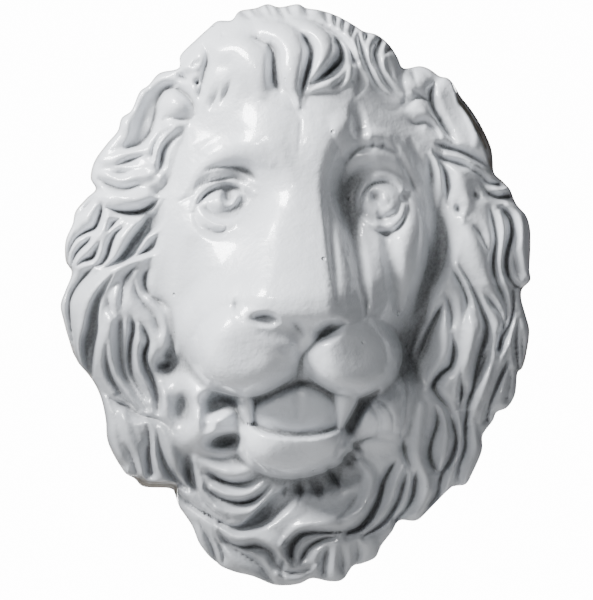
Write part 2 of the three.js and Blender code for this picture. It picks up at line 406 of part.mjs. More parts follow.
const MUZZLE = [
  ['pad', -46, -46, PAD_WIDTH, PAD_HEIGHT, 128, PAD_DEPTH - 6, 22, 24],
  ['pad', 50, -51, PAD_WIDTH - 3, PAD_HEIGHT - 4, 122, PAD_DEPTH - 7, -18, 18],
  ['swell', 94, -48, 66, 76, -27, -10],
  // nostrils and the fold from them to the lip
  ['roll', 0.12, [[-60, -14, 8], [-46, -30, 18], [-28, -42, 16], [-12, -54, 6]]],
  ['swell', 0, -30, 46, 15, -6, 0],
  ['swell', -31, -19, 18, 9, -11, -6],
  ['swell', 30, -29, 20, 12, -11, 28],
  ['groove', 0.7, [[44, -24, 4], [33, -29, 8], [22, -37, 9], [12, -47, 7], [4, -57, 6], [1, -68, 6],
    [1, -86, 5]]],
  ['groove', 0.6, [[-56, 1, 1], [-58, -8, 4], [-60, -16, 1]]],
  ['groove', 0.5, [[64, 8, 1], [66, -6, 5], [65, -16, 4], [54, -23, 4], [44, -24, 4]]],
  ['roll', -0.16, [[-1, -20, 8], [0, -32, 16], [1, -44, 12], [1, -58, 5]]],
  ['swell', 10, -34, 10, 9, 3, 0],
  // forehead
  ['groove', 0.3, [[-46, 196, 1], [-28, 189, 4], [-12, 183, 5], [0, 176, 6], [3, 166, 6], [1, 140, 3]]],
  ['swell', 26, 150, 36, 54, 6, 0],
  ['swell', -30, 150, 40, 54, 5, 0],
  ['swell', 44, 162, 17, 24, 5, 8],
  ['groove', 0.3, [[30, 166, 1], [33, 156, 4], [38, 148, 5], [43, 138, 4], [48, 130, 1]]],
  ['swell', 59, 168, 11, 30, -6, 10],
  // chin
  ['pad', -3, -136, CHIN_WIDTH, CHIN_HEIGHT, 98, CHIN_DEPTH, 0, 18],
  ['swell', 20, -173, 72, 45, -20, 0],
  // jaw at the corners of the mouth
  ['mound', -84, -108, 58, 62, 66, CHEEK_DEPTH - 4, 0, 22],
  ['mound', 82, -104, 48, 56, 66, CHEEK_DEPTH - 8, 0, 20],
];

const MOUTH = [
  ['pad', 0, -108, TONGUE_WIDTH, TONGUE_HEIGHT, MOUTH_FLOOR_DEPTH + 12, TONGUE_DEPTH, 0, 5],
  ['roll', -0.12, [[0, -84, 8], [1, -98, 13], [1, -112, 8]]],
  ['groove', 0.6, [[-29, -118, 2], [-14, -126, 4], [0, -128, 4], [14, -126, 4], [28, -121, 2]]],
  // eye teeth
  ['lock', 0.5, [[-52, -86, 20], [-50, -100, 17], [-46, -116, 7]], 30, 32],
  ['lock', 0.5, [[47, -84, 28], [45, -102, 20], [41, -122, 5]], 32, 34],
  // folds of the lip at the right
  ['groove', 0.55, [[99, -62, 2], [104, -80, 8], [106, -98, 10], [104, -118, 10], [101, -133, 4]]],
  ['groove', 0.55, [[62, -139, 2], [74, -134, 7], [88, -132, 9], [101, -133, 4]]],
  ['groove', 0.55, [[66, -98, 2], [74, -108, 7], [80, -120, 8], [77, -133, 3]]],
  // hollows at the corners of the mouth
  ['swell', -113, -108, 20, 34, -22, 4],
  ['swell', -110, -107, 13, 20, -10, 0],
  ['swell', -76, -102, 30, 19, -27, 6],
  ['swell', -70, -111, 17, 10, 12, 32],
  ['swell', -88, -118, 10, 16, -8, 0],
  ['swell', -72, -139, 25, 13, -24, 8],
  ['groove', 0.5, [[-82, -119, 1], [-70, -123, 4], [-61, -118, 4], [-55, -110, 2]]],
  ['roll', -0.8, [[77, -88, 8], [67, -97, 13], [58, -109, 14], [51, -122, 13], [45, -135, 12],
    [38, -149, 7]]],
  ['roll', 0.2, [[70, -106, 6], [63, -120, 10], [57, -135, 10], [50, -148, 6]]],
  ['swell', 90, -113, 20, 24, 5, 0],
  ['groove', 0.5, [[78, -98, 3], [86, -104, 5], [92, -114, 6], [93, -128, 4]]],
  ['groove', 0.6, [[56, -142, 4], [68, -137, 6], [80, -136, 6], [97, -139, 3]]],
  // short tufts under the chin
  ['groove', 0.7, [[50, -137, 4], [57, -144, 9], [66, -150, 2]]],
  ['groove', 0.7, [[42, -151, 4], [49, -158, 9], [57, -165, 2]]],
  ['groove', 0.7, [[30, -166, 4], [36, -175, 9], [42, -185, 2]]],
  ['groove', 0.7, [[18, -176, 4], [22, -186, 9], [25, -197, 2]]],
  ['groove', 0.7, [[2, -178, 4], [3, -189, 9], [1, -202, 2]]],
];

// Nose bridge: up, depth as a share of the nose, half width to the left, half width to the right
const BRIDGE = [
  [-300, 0, 20, 22], [-150, 0.1, 20, 22], [-110, 0.4, 20, 22], [-85, 0.66, 24, 24], [-60, 0.81, 28, 26],
  [-40, 0.895, 32, 27], [-26, 0.955, 34, 27], [-16, 0.99, 34, 26], [-8, 1, 32, 25], [5, 0.99, 29, 24],
  [30, 0.915, 22, 22], [60, 0.83, 18, 21], [90, 0.767, 20, 22], [120, 0.723, 30, 25], [150, 0.7, 46, 34],
  [175, 0.67, 50, 44], [200, 0.6, 50, 46], [230, 0.45, 50, 50], [300, 0.1, 50, 50],
];
const BRIDGE_CENTRE = 2;
const BRIDGE_LEFT_FALL = 0.8;
const BRIDGE_RIGHT_FALL = 1.5;
const BRIDGE_LEFT_ROUNDING = 36;
const BRIDGE_RIGHT_ROUNDING = 20;
const BRIDGE_CROWN = 0.004;
const BRIDGE_BLEND = 18;

// Opening between the lips: across, top edge, bottom edge
const LIPS = [
  [-80, -92, -94], [-58, -96, -110], [-42, -97, -123], [-20, -92, -129], [-4, -83, -131],
  [4, -80, -131], [18, -84, -130], [34, -92, -127], [48, -97, -122], [62, -98, -102],
  [80, -92, -94],
];
const LIP_SOFTNESS = 3;

// Where the side is shown: bearings, in degrees, where it starts, is full, ends being full and
// ends, then its slope
const SHOWN_SIDES = [
  [56, 50, 36, 30, FLARE_SLOPE], [-18, -34, -102, -118, EDGE_SLOPE], [-119, -123, -131, -135, FLARE_SLOPE],
];

const { clamp, lerp, smoothstep, degToRad, radToDeg } = THREE.MathUtils;

function through(rows, at, column) {
  const last = rows.length - 1;
  const place = clamp(at, rows[0][0], rows[last][0]);
  let i = 0;
  while (i < last - 1 && rows[i + 1][0] < place) i += 1;
  const slope = (k) => {
    const before = rows[Math.max(k - 1, 0)];
    const after = rows[Math.min(k + 1, last)];
    return (after[column] - before[column]) / (after[0] - before[0]);
  };
  const span = rows[i + 1][0] - rows[i][0];
  const t = (place - rows[i][0]) / span;
  const rest = 1 - t;
  return rows[i][column] * (1 + 2 * t) * rest * rest + slope(i) * span * t * rest * rest
    + rows[i + 1][column] * t * t * (3 - 2 * t) - slope(i + 1) * span * t * t * rest;
}

function blendOver(a, b, blend) {
  const share = clamp(0.5 + (0.5 * (a - b)) / blend, 0, 1);
  return lerp(b, a, share) + blend * share * (1 - share);
}

function blendUnder(a, b, blend) {
  return -blendOver(-a, -b, blend);
}

// A ramp that may also run downward
function ramp(from, to, at) {
  const t = clamp((at - from) / (to - from), 0, 1);
  return t * t * (3 - 2 * t);
}

function outlineRadii() {
  const corners = OUTLINE.map(([across, up]) => new THREE.Vector3(across, up, 0));
  const curve = new THREE.CatmullRomCurve3(corners, true, 'catmullrom');
  const rim = curve.getPoints(OUTLINE.length * OUTLINE_STEPS);
  const rows = rim.map((p) => [Math.atan2(p.y, p.x), Math.hypot(p.x, p.y)]);
  rows.sort((a, b) => a[0] - b[0]);
  return rows;
}

function radiusAt(rows, bearing) {
  let low = 0;
  let high = rows.length;
  while (low < high) {
    const mid = (low + high) >> 1;
    if (rows[mid][0] < bearing) low = mid + 1;
    else high = mid;
  }
  const turn = 2 * Math.PI;
  const after = low === rows.length ? [rows[0][0] + turn, rows[0][1]] : rows[low];
  const end = rows[rows.length - 1];
  const before = low === 0 ? [end[0] - turn, end[1]] : rows[low - 1];
  const share = (bearing - before[0]) / Math.max(after[0] - before[0], Number.EPSILON);
  return lerp(before[1], after[1], clamp(share, 0, 1));
}

// Square grid laid over the outline: the middle of the grid is the middle of the plaque
// and the edge of the grid is the rim.
class Relief {
  constructor(steps) {
    this.side = steps + 1;
    const count = this.side * this.side;
    this.across = new Float64Array(count);
    this.up = new Float64Array(count);
    this.inward = new Float64Array(count);
    this.radius = new Float64Array(count);
    this.depth = new Float64Array(count);
    this.hair = new Float64Array(count);
    this.valley = new Float64Array(count);
    const rows = outlineRadii();
    for (let j = 0; j < this.side; j += 1) {
      for (let i = 0; i < this.side; i += 1) {
        const a = (2 * i) / steps - 1;
        const b = (2 * j) / steps - 1;
        const reach = Math.max(Math.abs(a), Math.abs(b));
        const bearing = this.bearing(a, b, reach);
        const radius = radiusAt(rows, Math.atan2(Math.sin(bearing), Math.cos(bearing)));
        const k = j * this.side + i;
        this.across[k] = Math.cos(bearing) * radius * reach;
        this.up[k] = Math.sin(bearing) * radius * reach;
        this.inward[k] = 1 - reach;
        this.radius[k] = radius;
      }
    }
  }

  bearing(a, b, reach) {
    if (reach === 0) return 0;
    const quarter = Math.PI / 4;
    if (Math.abs(a) >= Math.abs(b)) return quarter * (b / a) + (a < 0 ? Math.PI : 0);
    return Math.PI / 2 - quarter * (a / b) + (b < 0 ? Math.PI : 0);
  }

  oval(x, z, halfWidth, halfHeight, turn, act) {
    const cos = Math.cos(degToRad(turn));
    const sin = Math.sin(degToRad(turn));
    for (let k = 0; k < this.depth.length; k += 1) {
      const dx = this.across[k] - x;
      const dz = this.up[k] - z;
      const u = (dx * cos + dz * sin) / halfWidth;
      const v = (dz * cos - dx * sin) / halfHeight;
      act(k, Math.hypot(u, v));
    }
  }

  mound(x, z, halfWidth, halfHeight, foot, top, turn, blend, fullness = MOUND_FULLNESS) {
    const rise = top - foot;
    this.oval(x, z, halfWidth, halfHeight, turn, (k, q) => {
      const dome = q < 1 ? 1 - q ** fullness : fullness * (1 - q);
      this.depth[k] = blendOver(this.depth[k], foot + rise * dome, blend);
    });
  }

  // A mound with a broad crown and steep sides
  pad(x, z, halfWidth, halfHeight, foot, top, turn, blend) {
    this.mound(x, z, halfWidth, halfHeight, foot, top, turn, blend, PAD_FULLNESS);
  }

  swell(x, z, halfWidth, halfHeight, rise, turn) {
    this.oval(x, z, halfWidth, halfHeight, turn, (k, q) => {
      const share = Math.max(1 - q * q, 0);
      this.depth[k] += rise * share * share;
    });
  }

  // Calls act with each grid point near a path, its distance in half widths and the width there
  along(path, reach, act, margin = 0) {
    const knots = path.map(([x, z, width]) => new THREE.Vector3(x, z, width));
    const curve = new THREE.CatmullRomCurve3(knots, false, 'catmullrom');
    const line = curve.getPoints((path.length - 1) * PATH_STEPS);
    const widest = Math.max(...path.map((row) => row[2]));
    const box = new THREE.Box3().setFromPoints(line).expandByScalar(reach * widest + margin);
    for (let k = 0; k < this.depth.length; k += 1) {
      const x = this.across[k];
      const z = this.up[k];
      if (x < box.min.x || x > box.max.x || z < box.min.y || z > box.max.y) continue;
      let nearest = Infinity;
      let awayThere = Infinity;
      let widthThere = 1;
      let shareThere = 0;
      for (let s = 0; s + 1 < line.length; s += 1) {
        const from = line[s];
        const to = line[s + 1];
        const runX = to.x - from.x;
        const runZ = to.y - from.y;
        const long = Math.max(runX * runX + runZ * runZ, Number.EPSILON);
        const t = clamp(((x - from.x) * runX + (z - from.y) * runZ) / long, 0, 1);
        const width = Math.max(lerp(from.z, to.z, t), 1);
        const distance = Math.hypot(x - from.x - t * runX, z - from.y - t * runZ);
        if (distance < nearest) {
          nearest = distance;
          awayThere = distance / (width / 2);
          widthThere = width;
          shareThere = (s + t) / (line.length - 1);
        }
      }
      act(k, awayThere, widthThere, shareThere);
    }
  }

  // A cut between locks of hair, which also rounds the hair on both sides
  parting(strength, path) {
    this.along(path, 0, (k, away, width) => {
      const near = Math.max(1 - (away * width) / 2 / LOCK_ROUNDING_REACH, 0);
      const share = near * near * Math.min(width / FULL_PARTING_WIDTH, 1);
      this.valley[k] = Math.max(this.valley[k], share);
    }, LOCK_ROUNDING_REACH);
    this.groove(strength, path);
  }

  // A cut with a sharp floor and rounded shoulders
  groove(strength, path) {
    this.along(path, GROOVE_SHOULDER / 2, (k, away, width) => {
      const core = Math.max(1 - away, 0) ** GROOVE_SHARPNESS;
      const shoulder = Math.max(1 - (away / GROOVE_SHOULDER) ** 2, 0) ** 2;
      this.depth[k] -= GROOVE_STRENGTH * strength * width * lerp(shoulder, core, GROOVE_CORE_SHARE);
    });
  }

  // A pocket with a flat floor
  hollow(strength, path) {
    this.along(path, 1, (k, away, width) => {
      const share = smoothstep(POCKET_REACH - away, 0, POCKET_WALL);
      this.depth[k] -= GROOVE_STRENGTH * strength * width * share;
    });
  }

  // A soft rounded strand
  roll(strength, path) {
    this.along(path, ROLL_REACH / 2, (k, away, width) => {
      const section = Math.max(1 - (away / ROLL_REACH) ** 2, 0) ** ROLL_SOFTNESS;
      this.depth[k] += LOCK_STRENGTH * strength * width * section;
    });
  }

  // A lock of hair laid over the rest
  lock(strength, path, liftStart, liftEnd) {
    this.along(path, 1, (k, away, width, share) => {
      const round = Math.max(1 - away * away, 0);
      const section = away < 1 ? lerp(round, Math.sqrt(round), LOCK_FULLNESS) : LOCK_SIDE_FALL * (1 - away);
      const lift = lerp(liftStart, liftEnd, share);
      const top = this.hair[k] + LOCK_STRENGTH * (lift + strength * width * section);
      this.depth[k] = blendOver(this.depth[k], top, LOCK_BLEND);
    });
  }

  carve(rows) {
    rows.forEach(([kind, ...sizes]) => this[kind](...sizes));
  }

  layHair() {
    for (let k = 0; k < this.depth.length; k += 1) {
      this.depth[k] = MANE_FOOT_DEPTH + MANE_RISE * through(MANE_PROFILE, this.inward[k], 1);
    }
    this.carve(BODY);
    this.hair.set(this.depth);
  }

  roundLocks() {
    for (let k = 0; k < this.depth.length; k += 1) this.depth[k] -= LOCK_ROUNDING * this.valley[k];
  }

  layBridge() {
    for (let k = 0; k < this.depth.length; k += 1) {
      const z = this.up[k];
      const from = this.across[k] - BRIDGE_CENTRE;
      const left = Math.max(-from - through(BRIDGE, z, 2), 0);
      const right = Math.max(from - through(BRIDGE, z, 3), 0);
      const crest = NOSE_DEPTH * through(BRIDGE, z, 1);
      const fall = (BRIDGE_LEFT_FALL * left * left) / (left + BRIDGE_LEFT_ROUNDING)
        + (BRIDGE_RIGHT_FALL * right * right) / (right + BRIDGE_RIGHT_ROUNDING)
        + BRIDGE_CROWN * from * from;
      this.depth[k] = blendOver(this.depth[k], crest - fall, BRIDGE_BLEND);
    }
  }

  openMouth() {
    const first = LIPS[0][0];
    const last = LIPS[LIPS.length - 1][0];
    for (let k = 0; k < this.depth.length; k += 1) {
      const x = this.across[k];
      const z = this.up[k];
      if (x < first || x > last) continue;
      const top = through(LIPS, x, 1);
      const bottom = through(LIPS, x, 2);
      const open = ramp(-LIP_SOFTNESS, LIP_SOFTNESS, top - z)
        * ramp(-LIP_SOFTNESS, LIP_SOFTNESS, z - bottom);
      this.depth[k] = lerp(this.depth[k], Math.min(this.depth[k], MOUTH_FLOOR_DEPTH), open);
    }
  }

  // The cast side falls to the wall, with a flare where it is shown
  layRim() {
    for (let k = 0; k < this.depth.length; k += 1) {
      const bearing = radToDeg(Math.atan2(this.up[k], this.across[k]));
      let low = RIM_DEPTH;
      let slope = RIM_SLOPE;
      SHOWN_SIDES.forEach(([starts, full, lasts, ends, sideSlope]) => {
        const shown = ramp(starts, full, bearing) * ramp(ends, lasts, bearing);
        low = lerp(low, SHOWN_RIM_DEPTH, shown);
        slope = lerp(slope, sideSlope, shown);
      });
      const limit = low + slope * this.inward[k] * this.radius[k];
      this.depth[k] = Math.max(blendUnder(this.depth[k], limit, RIM_ROUNDING), LEAST_DEPTH);
    }
  }

  point(k) {
    return new THREE.Vector3(
      (this.across[k] * PLAQUE_WIDTH) / UNITS_WIDE,
      -this.depth[k],
      (this.up[k] * PLAQUE_HEIGHT) / UNITS_TALL,
    );
  }
}

// Sum of squared distances to planes, as the ten terms of a symmetric matrix
function planeTerms(normal, point, weight) {
  const d = -normal.dot(point);
  const { x, y, z } = normal;
  return [x * x, x * y, x * z, x * d, y * y, y * z, y * d, z * z, z * d, d * d].map((v) => v * weight);
}

function squaredError(q, p) {
  return q[0] * p.x * p.x + q[4] * p.y * p.y + q[7] * p.z * p.z + q[9]
    + 2 * (q[1] * p.x * p.y + q[2] * p.x * p.z + q[5] * p.y * p.z + q[3] * p.x + q[6] * p.y + q[8] * p.z);
}

function leastErrorPoint(q) {
  const planes = new THREE.Matrix3().set(q[0], q[1], q[2], q[1], q[4], q[5], q[2], q[5], q[7]);
  if (Math.abs(planes.determinant()) < SINGULAR_LIMIT) return null;
  return new THREE.Vector3(-q[3], -q[6], -q[8]).applyMatrix3(planes.invert());
}

class CheapestFirst {
  constructor() {
    this.items = [];
  }

  push(item) {
    const { items } = this;
    let k = items.push(item) - 1;
    while (k > 0) {
      const parent = (k - 1) >> 1;
      if (items[parent].cost <= items[k].cost) break;
      [items[parent], items[k]] = [items[k], items[parent]];
      k = parent;
    }
  }

  pop() {
    const { items } = this;
    const first = items[0];
    const last = items.pop();
    if (items.length === 0) return first;
    items[0] = last;
    let k = 0;
    for (;;) {
      let least = 2 * k + 1;
      if (least >= items.length) return first;
      if (least + 1 < items.length && items[least + 1].cost < items[least].cost) least += 1;
      if (items[k].cost <= items[least].cost) return first;
      [items[least], items[k]] = [items[k], items[least]];
      k = least;
    }
  }
}

// Joins the facets of a fine surface two points at a time, flattest places first,
// and never folds the surface over itself as seen from the front
class Facets {
  constructor(points, triangles, isRim) {
    this.points = points.map((p) => p.clone());
    this.triangles = triangles;
    this.isRim = isRim;
    this.around = points.map(() => new Set());
    this.terms = points.map(() => new Array(PLANE_TERMS).fill(0));
    this.stamp = new Uint32Array(points.length);
    this.count = triangles.length;
    this.queue = new CheapestFirst();
    triangles.forEach((corners, t) => {
      corners.forEach((k) => this.around[k].add(t));
      this.addFacetPlane(corners);
    });
    triangles.forEach((corners) => corners.forEach((a, n) => {
      const b = corners[(n + 1) % 3];
      const rimEdge = this.isRimEdge(a, b);
      if (rimEdge) this.addRimPlane(a, b);
      if (a < b || rimEdge) this.offer(a, b);
    }));
  }

  addTerms(k, terms) {
    for (let n = 0; n < terms.length; n += 1) this.terms[k][n] += terms[n];
  }

  addFacetPlane(corners) {
    const [a, b, c] = corners.map((k) => this.points[k]);
    const normal = new THREE.Vector3().subVectors(b, a).cross(new THREE.Vector3().subVectors(c, a));
    const area = normal.length() / 2;
    if (area === 0) return;
    const terms = planeTerms(normal.normalize(), a, area);
    corners.forEach((k) => this.addTerms(k, terms));
  }

  // Keeps the outline: a plane across the wall through each rim edge
  addRimPlane(a, b) {
    const run = new THREE.Vector3().subVectors(this.points[b], this.points[a]);
    const normal = new THREE.Vector3(run.z, 0, -run.x);
    const terms = planeTerms(normal.normalize(), this.points[a], run.lengthSq() * RIM_WEIGHT);
    this.addTerms(a, terms);
    this.addTerms(b, terms);
  }

  sharedFacets(a, b) {
    return [...this.around[a]].filter((t) => this.around[b].has(t));
  }

  isRimEdge(a, b) {
    return this.isRim[a] && this.isRim[b] && this.sharedFacets(a, b).length === 1;
  }

  target(a, b, terms) {
    if (this.isRim[a] !== this.isRim[b]) return this.points[this.isRim[a] ? a : b];
    const ends = [this.points[a], this.points[b]];
    const middle = new THREE.Vector3().addVectors(...ends).multiplyScalar(0.5);
    const best = this.isRim[a] ? null : leastErrorPoint(terms);
    if (best && best.distanceTo(middle) < ends[0].distanceTo(ends[1]) * REACH_LIMIT) return best;
    return [middle, ...ends].reduce(
      (least, p) => (squaredError(terms, p) < squaredError(terms, least) ? p : least),
    );
  }

  offer(a, b) {
    const terms = this.terms[a].map((v, n) => v + this.terms[b][n]);
    const at = this.target(a, b, terms);
    const cost = Math.max(squaredError(terms, at), 0);
    this.queue.push({ cost, a, b, at, stampA: this.stamp[a], stampB: this.stamp[b] });
  }

  frontArea(corners, moved, at) {
    const [p, q, r] = corners.map((k) => (moved.includes(k) ? at : this.points[k]));
    return (q.x - p.x) * (r.z - p.z) - (r.x - p.x) * (q.z - p.z);
  }

  canJoin(a, b, at) {
    const shared = this.sharedFacets(a, b);
    if (shared.length === 0) return false;
    if (this.isRim[a] && this.isRim[b] && shared.length !== 1) return false;
    const ring = (k) => new Set([...this.around[k]].flatMap((t) => this.triangles[t]));
    const ringB = ring(b);
    const common = [...ring(a)].filter((k) => ringB.has(k) && k !== a && k !== b);
    if (common.length !== shared.length) return false;
    const kept = [...this.around[a], ...this.around[b]].filter((t) => !shared.includes(t));
    return kept.every((t) => this.frontArea(this.triangles[t], [a, b], at) > LEAST_FRONT_AREA);
  }

  join(a, b, at) {
    this.sharedFacets(a, b).forEach((t) => {
      this.triangles[t].forEach((k) => this.around[k].delete(t));
      this.triangles[t] = null;
      this.count -= 1;
    });
    this.around[b].forEach((t) => {
      this.triangles[t] = this.triangles[t].map((k) => (k === b ? a : k));
      this.around[a].add(t);
    });
    this.around[b].clear();
    this.points[a] = at.clone();
    this.isRim[a] = this.isRim[a] || this.isRim[b];
    this.addTerms(a, this.terms[b]);
    this.stamp[a] += 1;
    this.stamp[b] += 1;
    const ring = new Set([...this.around[a]].flatMap((t) => this.triangles[t]));
    ring.delete(a);
    ring.forEach((k) => this.offer(a, k));
  }

  reduceTo(budget) {
    while (this.count > budget && this.queue.items.length > 0) {
      const { a, b, at, stampA, stampB } = this.queue.pop();
      const current = this.stamp[a] === stampA && this.stamp[b] === stampB;
      if (current && this.canJoin(a, b, at)) this.join(a, b, at);
    }
    return this.triangles.filter((corners) => corners !== null);
  }
}

// Two facets to each square of the grid, cut along its flatter diagonal
function gridFacets(points, side) {
  const facets = [];
  for (let j = 0; j + 1 < side; j += 1) {
    for (let i = 0; i + 1 < side; i += 1) {
      const k = j * side + i;
      const [a, b, c, d] = [k, k + 1, k + side + 1, k + side];
      const oneWay = Math.abs(points[a].y - points[c].y) < Math.abs(points[b].y - points[d].y);
      facets.push(...(oneWay ? [[a, b, c], [a, c, d]] : [[a, b, d], [b, c, d]]));
    }
  }
  return facets;
}

function reliefGeometry() {
  const relief = new Relief(GRID_STEPS);
  relief.layHair();
  relief.carve(LOCKS);
  relief.carve(PARTINGS);
  relief.carve(CROWN);
  relief.roundLocks();
  relief.carve(FACE);
  relief.layBridge();
  relief.carve(EYES);
  relief.carve(MUZZLE);
  relief.openMouth();
  relief.carve(MOUTH);
  relief.layRim();

  const { side } = relief;
  const fine = Array.from(relief.depth, (_, k) => relief.point(k));
  const isRim = Array.from(relief.inward, (inward) => inward === 0);
  const surface = new Facets(fine, gridFacets(fine, side), isRim);
  const facets = surface.reduceTo(FACET_BUDGET);
  const { points } = surface;

  const positions = [];
  const place = new Map();
  const indexOf = (key, point) => {
    if (!place.has(key)) {
      place.set(key, positions.length / 3);
      positions.push(point.x, point.y, point.z);
    }
    return place.get(key);
  };
  const front = (k) => indexOf(`front ${k}`, points[k]);
  const back = (k) => indexOf(`back ${k}`, new THREE.Vector3(points[k].x, 0, points[k].z));
  const centre = indexOf('centre', new THREE.Vector3());

  const index = [];
  const edges = new Map();
  facets.forEach((corners) => {
    index.push(...corners.map(front));
    corners.forEach((from, n) => {
      const to = corners[(n + 1) % 3];
      if (!edges.delete(`${to} ${from}`)) edges.set(`${from} ${to}`, [from, to]);
    });
  });

  // Side of the casting and the flat back
  edges.forEach(([from, to]) => {
    index.push(front(to), front(from), back(from));
    index.push(front(to), back(from), back(to));
    index.push(centre, back(to), back(from));
  });

  const geometry = new THREE.BufferGeometry();
  geometry.setAttribute('position', new THREE.Float32BufferAttribute(positions, 3));
  geometry.setIndex(index);
  geometry.computeVertexNormals();
  return geometry;
}

const enamel = new THREE.MeshStandardMaterial({ color: 0xe3e7ec, roughness: 0.35 });

const group = new THREE.Group();
group.name = 'lion_relief_plaque';
const plaque = new THREE.Mesh(reliefGeometry(), enamel);
plaque.name = 'lion_head_relief';
group.add(plaque);

export default group;
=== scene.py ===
import math

import bpy
import numpy as np
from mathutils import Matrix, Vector


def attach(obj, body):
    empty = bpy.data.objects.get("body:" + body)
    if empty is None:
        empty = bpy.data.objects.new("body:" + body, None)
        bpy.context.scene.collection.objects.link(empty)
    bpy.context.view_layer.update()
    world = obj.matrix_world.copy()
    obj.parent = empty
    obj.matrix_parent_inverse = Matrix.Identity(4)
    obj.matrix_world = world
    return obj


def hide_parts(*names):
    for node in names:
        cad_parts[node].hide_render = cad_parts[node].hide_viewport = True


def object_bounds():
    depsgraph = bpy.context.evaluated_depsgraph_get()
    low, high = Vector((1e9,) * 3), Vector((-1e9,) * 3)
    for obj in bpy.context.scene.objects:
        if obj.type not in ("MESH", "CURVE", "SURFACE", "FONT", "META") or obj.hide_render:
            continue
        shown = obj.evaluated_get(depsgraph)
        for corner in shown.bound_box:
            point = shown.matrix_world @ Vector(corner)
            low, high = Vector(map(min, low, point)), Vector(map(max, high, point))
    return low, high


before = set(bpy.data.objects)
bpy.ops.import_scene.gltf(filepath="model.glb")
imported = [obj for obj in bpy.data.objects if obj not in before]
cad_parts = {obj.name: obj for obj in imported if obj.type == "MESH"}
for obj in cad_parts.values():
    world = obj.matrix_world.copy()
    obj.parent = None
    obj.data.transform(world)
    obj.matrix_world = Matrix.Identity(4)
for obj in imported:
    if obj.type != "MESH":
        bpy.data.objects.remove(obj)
cad_low, cad_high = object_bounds()

# Lion head relief. The real piece is one concrete casting with a flat back, painted with a
# glossy white enamel. The grey in the deep hair, in the mouth and over the lower mane is
# painted shade, and the low side of the casting is bare brownish concrete. It is carved here
# as a depth over the wall.

# Overall sizes of the casting in millimetres, and how steeply its sides rise inward
PLAQUE_WIDTH = 471
PLAQUE_HEIGHT = 586
RIM_DEPTH = 60
SHOWN_RIM_DEPTH = 12
RIM_SLOPE = 6
FLARE_SLOPE = 4.4
EDGE_SLOPE = 13
RIM_ROUNDING = 5
LEAST_DEPTH = 6

# Depths of the main masses
MANE_FOOT_DEPTH = 64
MANE_RISE = 40
CROWN_DEPTH = 136
SKULL_DEPTH = 128
FOREHEAD_DEPTH = 144
CHEEK_DEPTH = 136
MUZZLE_DEPTH = 172
NOSE_DEPTH = 206
PAD_DEPTH = 199
JAW_DEPTH = 126
CHIN_DEPTH = 163
TONGUE_DEPTH = 150
MOUTH_FLOOR_DEPTH = 128
EYE_DEPTH = 126

# Widths across the face, in carving units
EYE_RADIUS = 20
PAD_WIDTH = 57
PAD_HEIGHT = 51
CHIN_WIDTH = 60
CHIN_HEIGHT = 43
TONGUE_WIDTH = 38
TONGUE_HEIGHT = 28

# Fullness of the rounded masses, and strength of the carving as a share of what is drawn
MOUND_FULLNESS = 2.4
MOUND_REACH = 1.9
PAD_FULLNESS = 4.4
GROOVE_SHARPNESS = 1.25
GROOVE_CORE_SHARE = 0.6
GROOVE_SHOULDER = 3
POCKET_REACH = 1.25
POCKET_WALL = 0.9
ROLL_SOFTNESS = 2.4
ROLL_REACH = 1.35
LOCK_FULLNESS = 0.55
LOCK_SIDE_FALL = 3
LOCK_BLEND = 1.5
LOCK_ROUNDING = 8
LOCK_ROUNDING_REACH = 12
FULL_PARTING_WIDTH = 5
GROOVE_STRENGTH = 1
LOCK_STRENGTH = 1

# Carving units across and up the drawn outline
UNITS_WIDE = 471
UNITS_TALL = 586

# Steps of the curves between two points, and the least squared length that a step counts with
PATH_STEPS = 7
OUTLINE_STEPS = 8
LEAST_RUN = 1e-9

# Outline clockwise from the top: across, up
OUTLINE = [
    [0, 295], [9, 291], [22, 289], [38, 284], [55, 275], [66, 268], [80, 264], [92, 254], [100, 242],
    [106, 231], [122, 233], [132, 230], [142, 223], [152, 220], [168, 206], [180, 191], [190, 174],
    [198, 156], [200, 142], [199, 126], [207, 116], [213, 109], [219, 95], [229, 83], [233, 68],
    [233, 48], [232, 30], [233, 19], [225, 10], [224, 0], [228, -15], [232, -32], [229, -55],
    [225, -69], [220, -75], [219, -97], [212, -110], [202, -115], [198, -124], [188, -138],
    [187, -154], [177, -177], [170, -188], [155, -192], [140, -207], [122, -224], [104, -225],
    [95, -237], [85, -250], [79, -262], [66, -268], [56, -271], [46, -284], [33, -286], [15, -283],
    [3, -288], [-10, -290], [-25, -289], [-45, -281], [-65, -276], [-82, -267], [-98, -248],
    [-107, -225], [-124, -201], [-131, -194], [-158, -192], [-168, -180], [-180, -163],
    [-190, -142], [-192, -120], [-197, -98], [-206, -80], [-222, -60], [-229, -40], [-234, -22],
    [-237, -6], [-232, 9], [-226, 26], [-232, 38], [-232, 58], [-225, 75], [-222, 88], [-211, 101],
    [-202, 110], [-207, 121], [-203, 138], [-191, 155], [-180, 168], [-176, 181], [-166, 189],
    [-158, 207], [-149, 214], [-138, 226], [-119, 231], [-117, 244], [-101, 260], [-90, 270],
    [-80, 278], [-66, 279], [-58, 288], [-42, 291], [-30, 295], [-18, 292],
]

# Rise of the mane from the rim inward: share of the way in, share of the rise
MANE_PROFILE = [
    [0, 0], [0.02, 0.24], [0.05, 0.42], [0.1, 0.58], [0.2, 0.78], [0.35, 0.91], [0.55, 0.97], [1, 1],
]

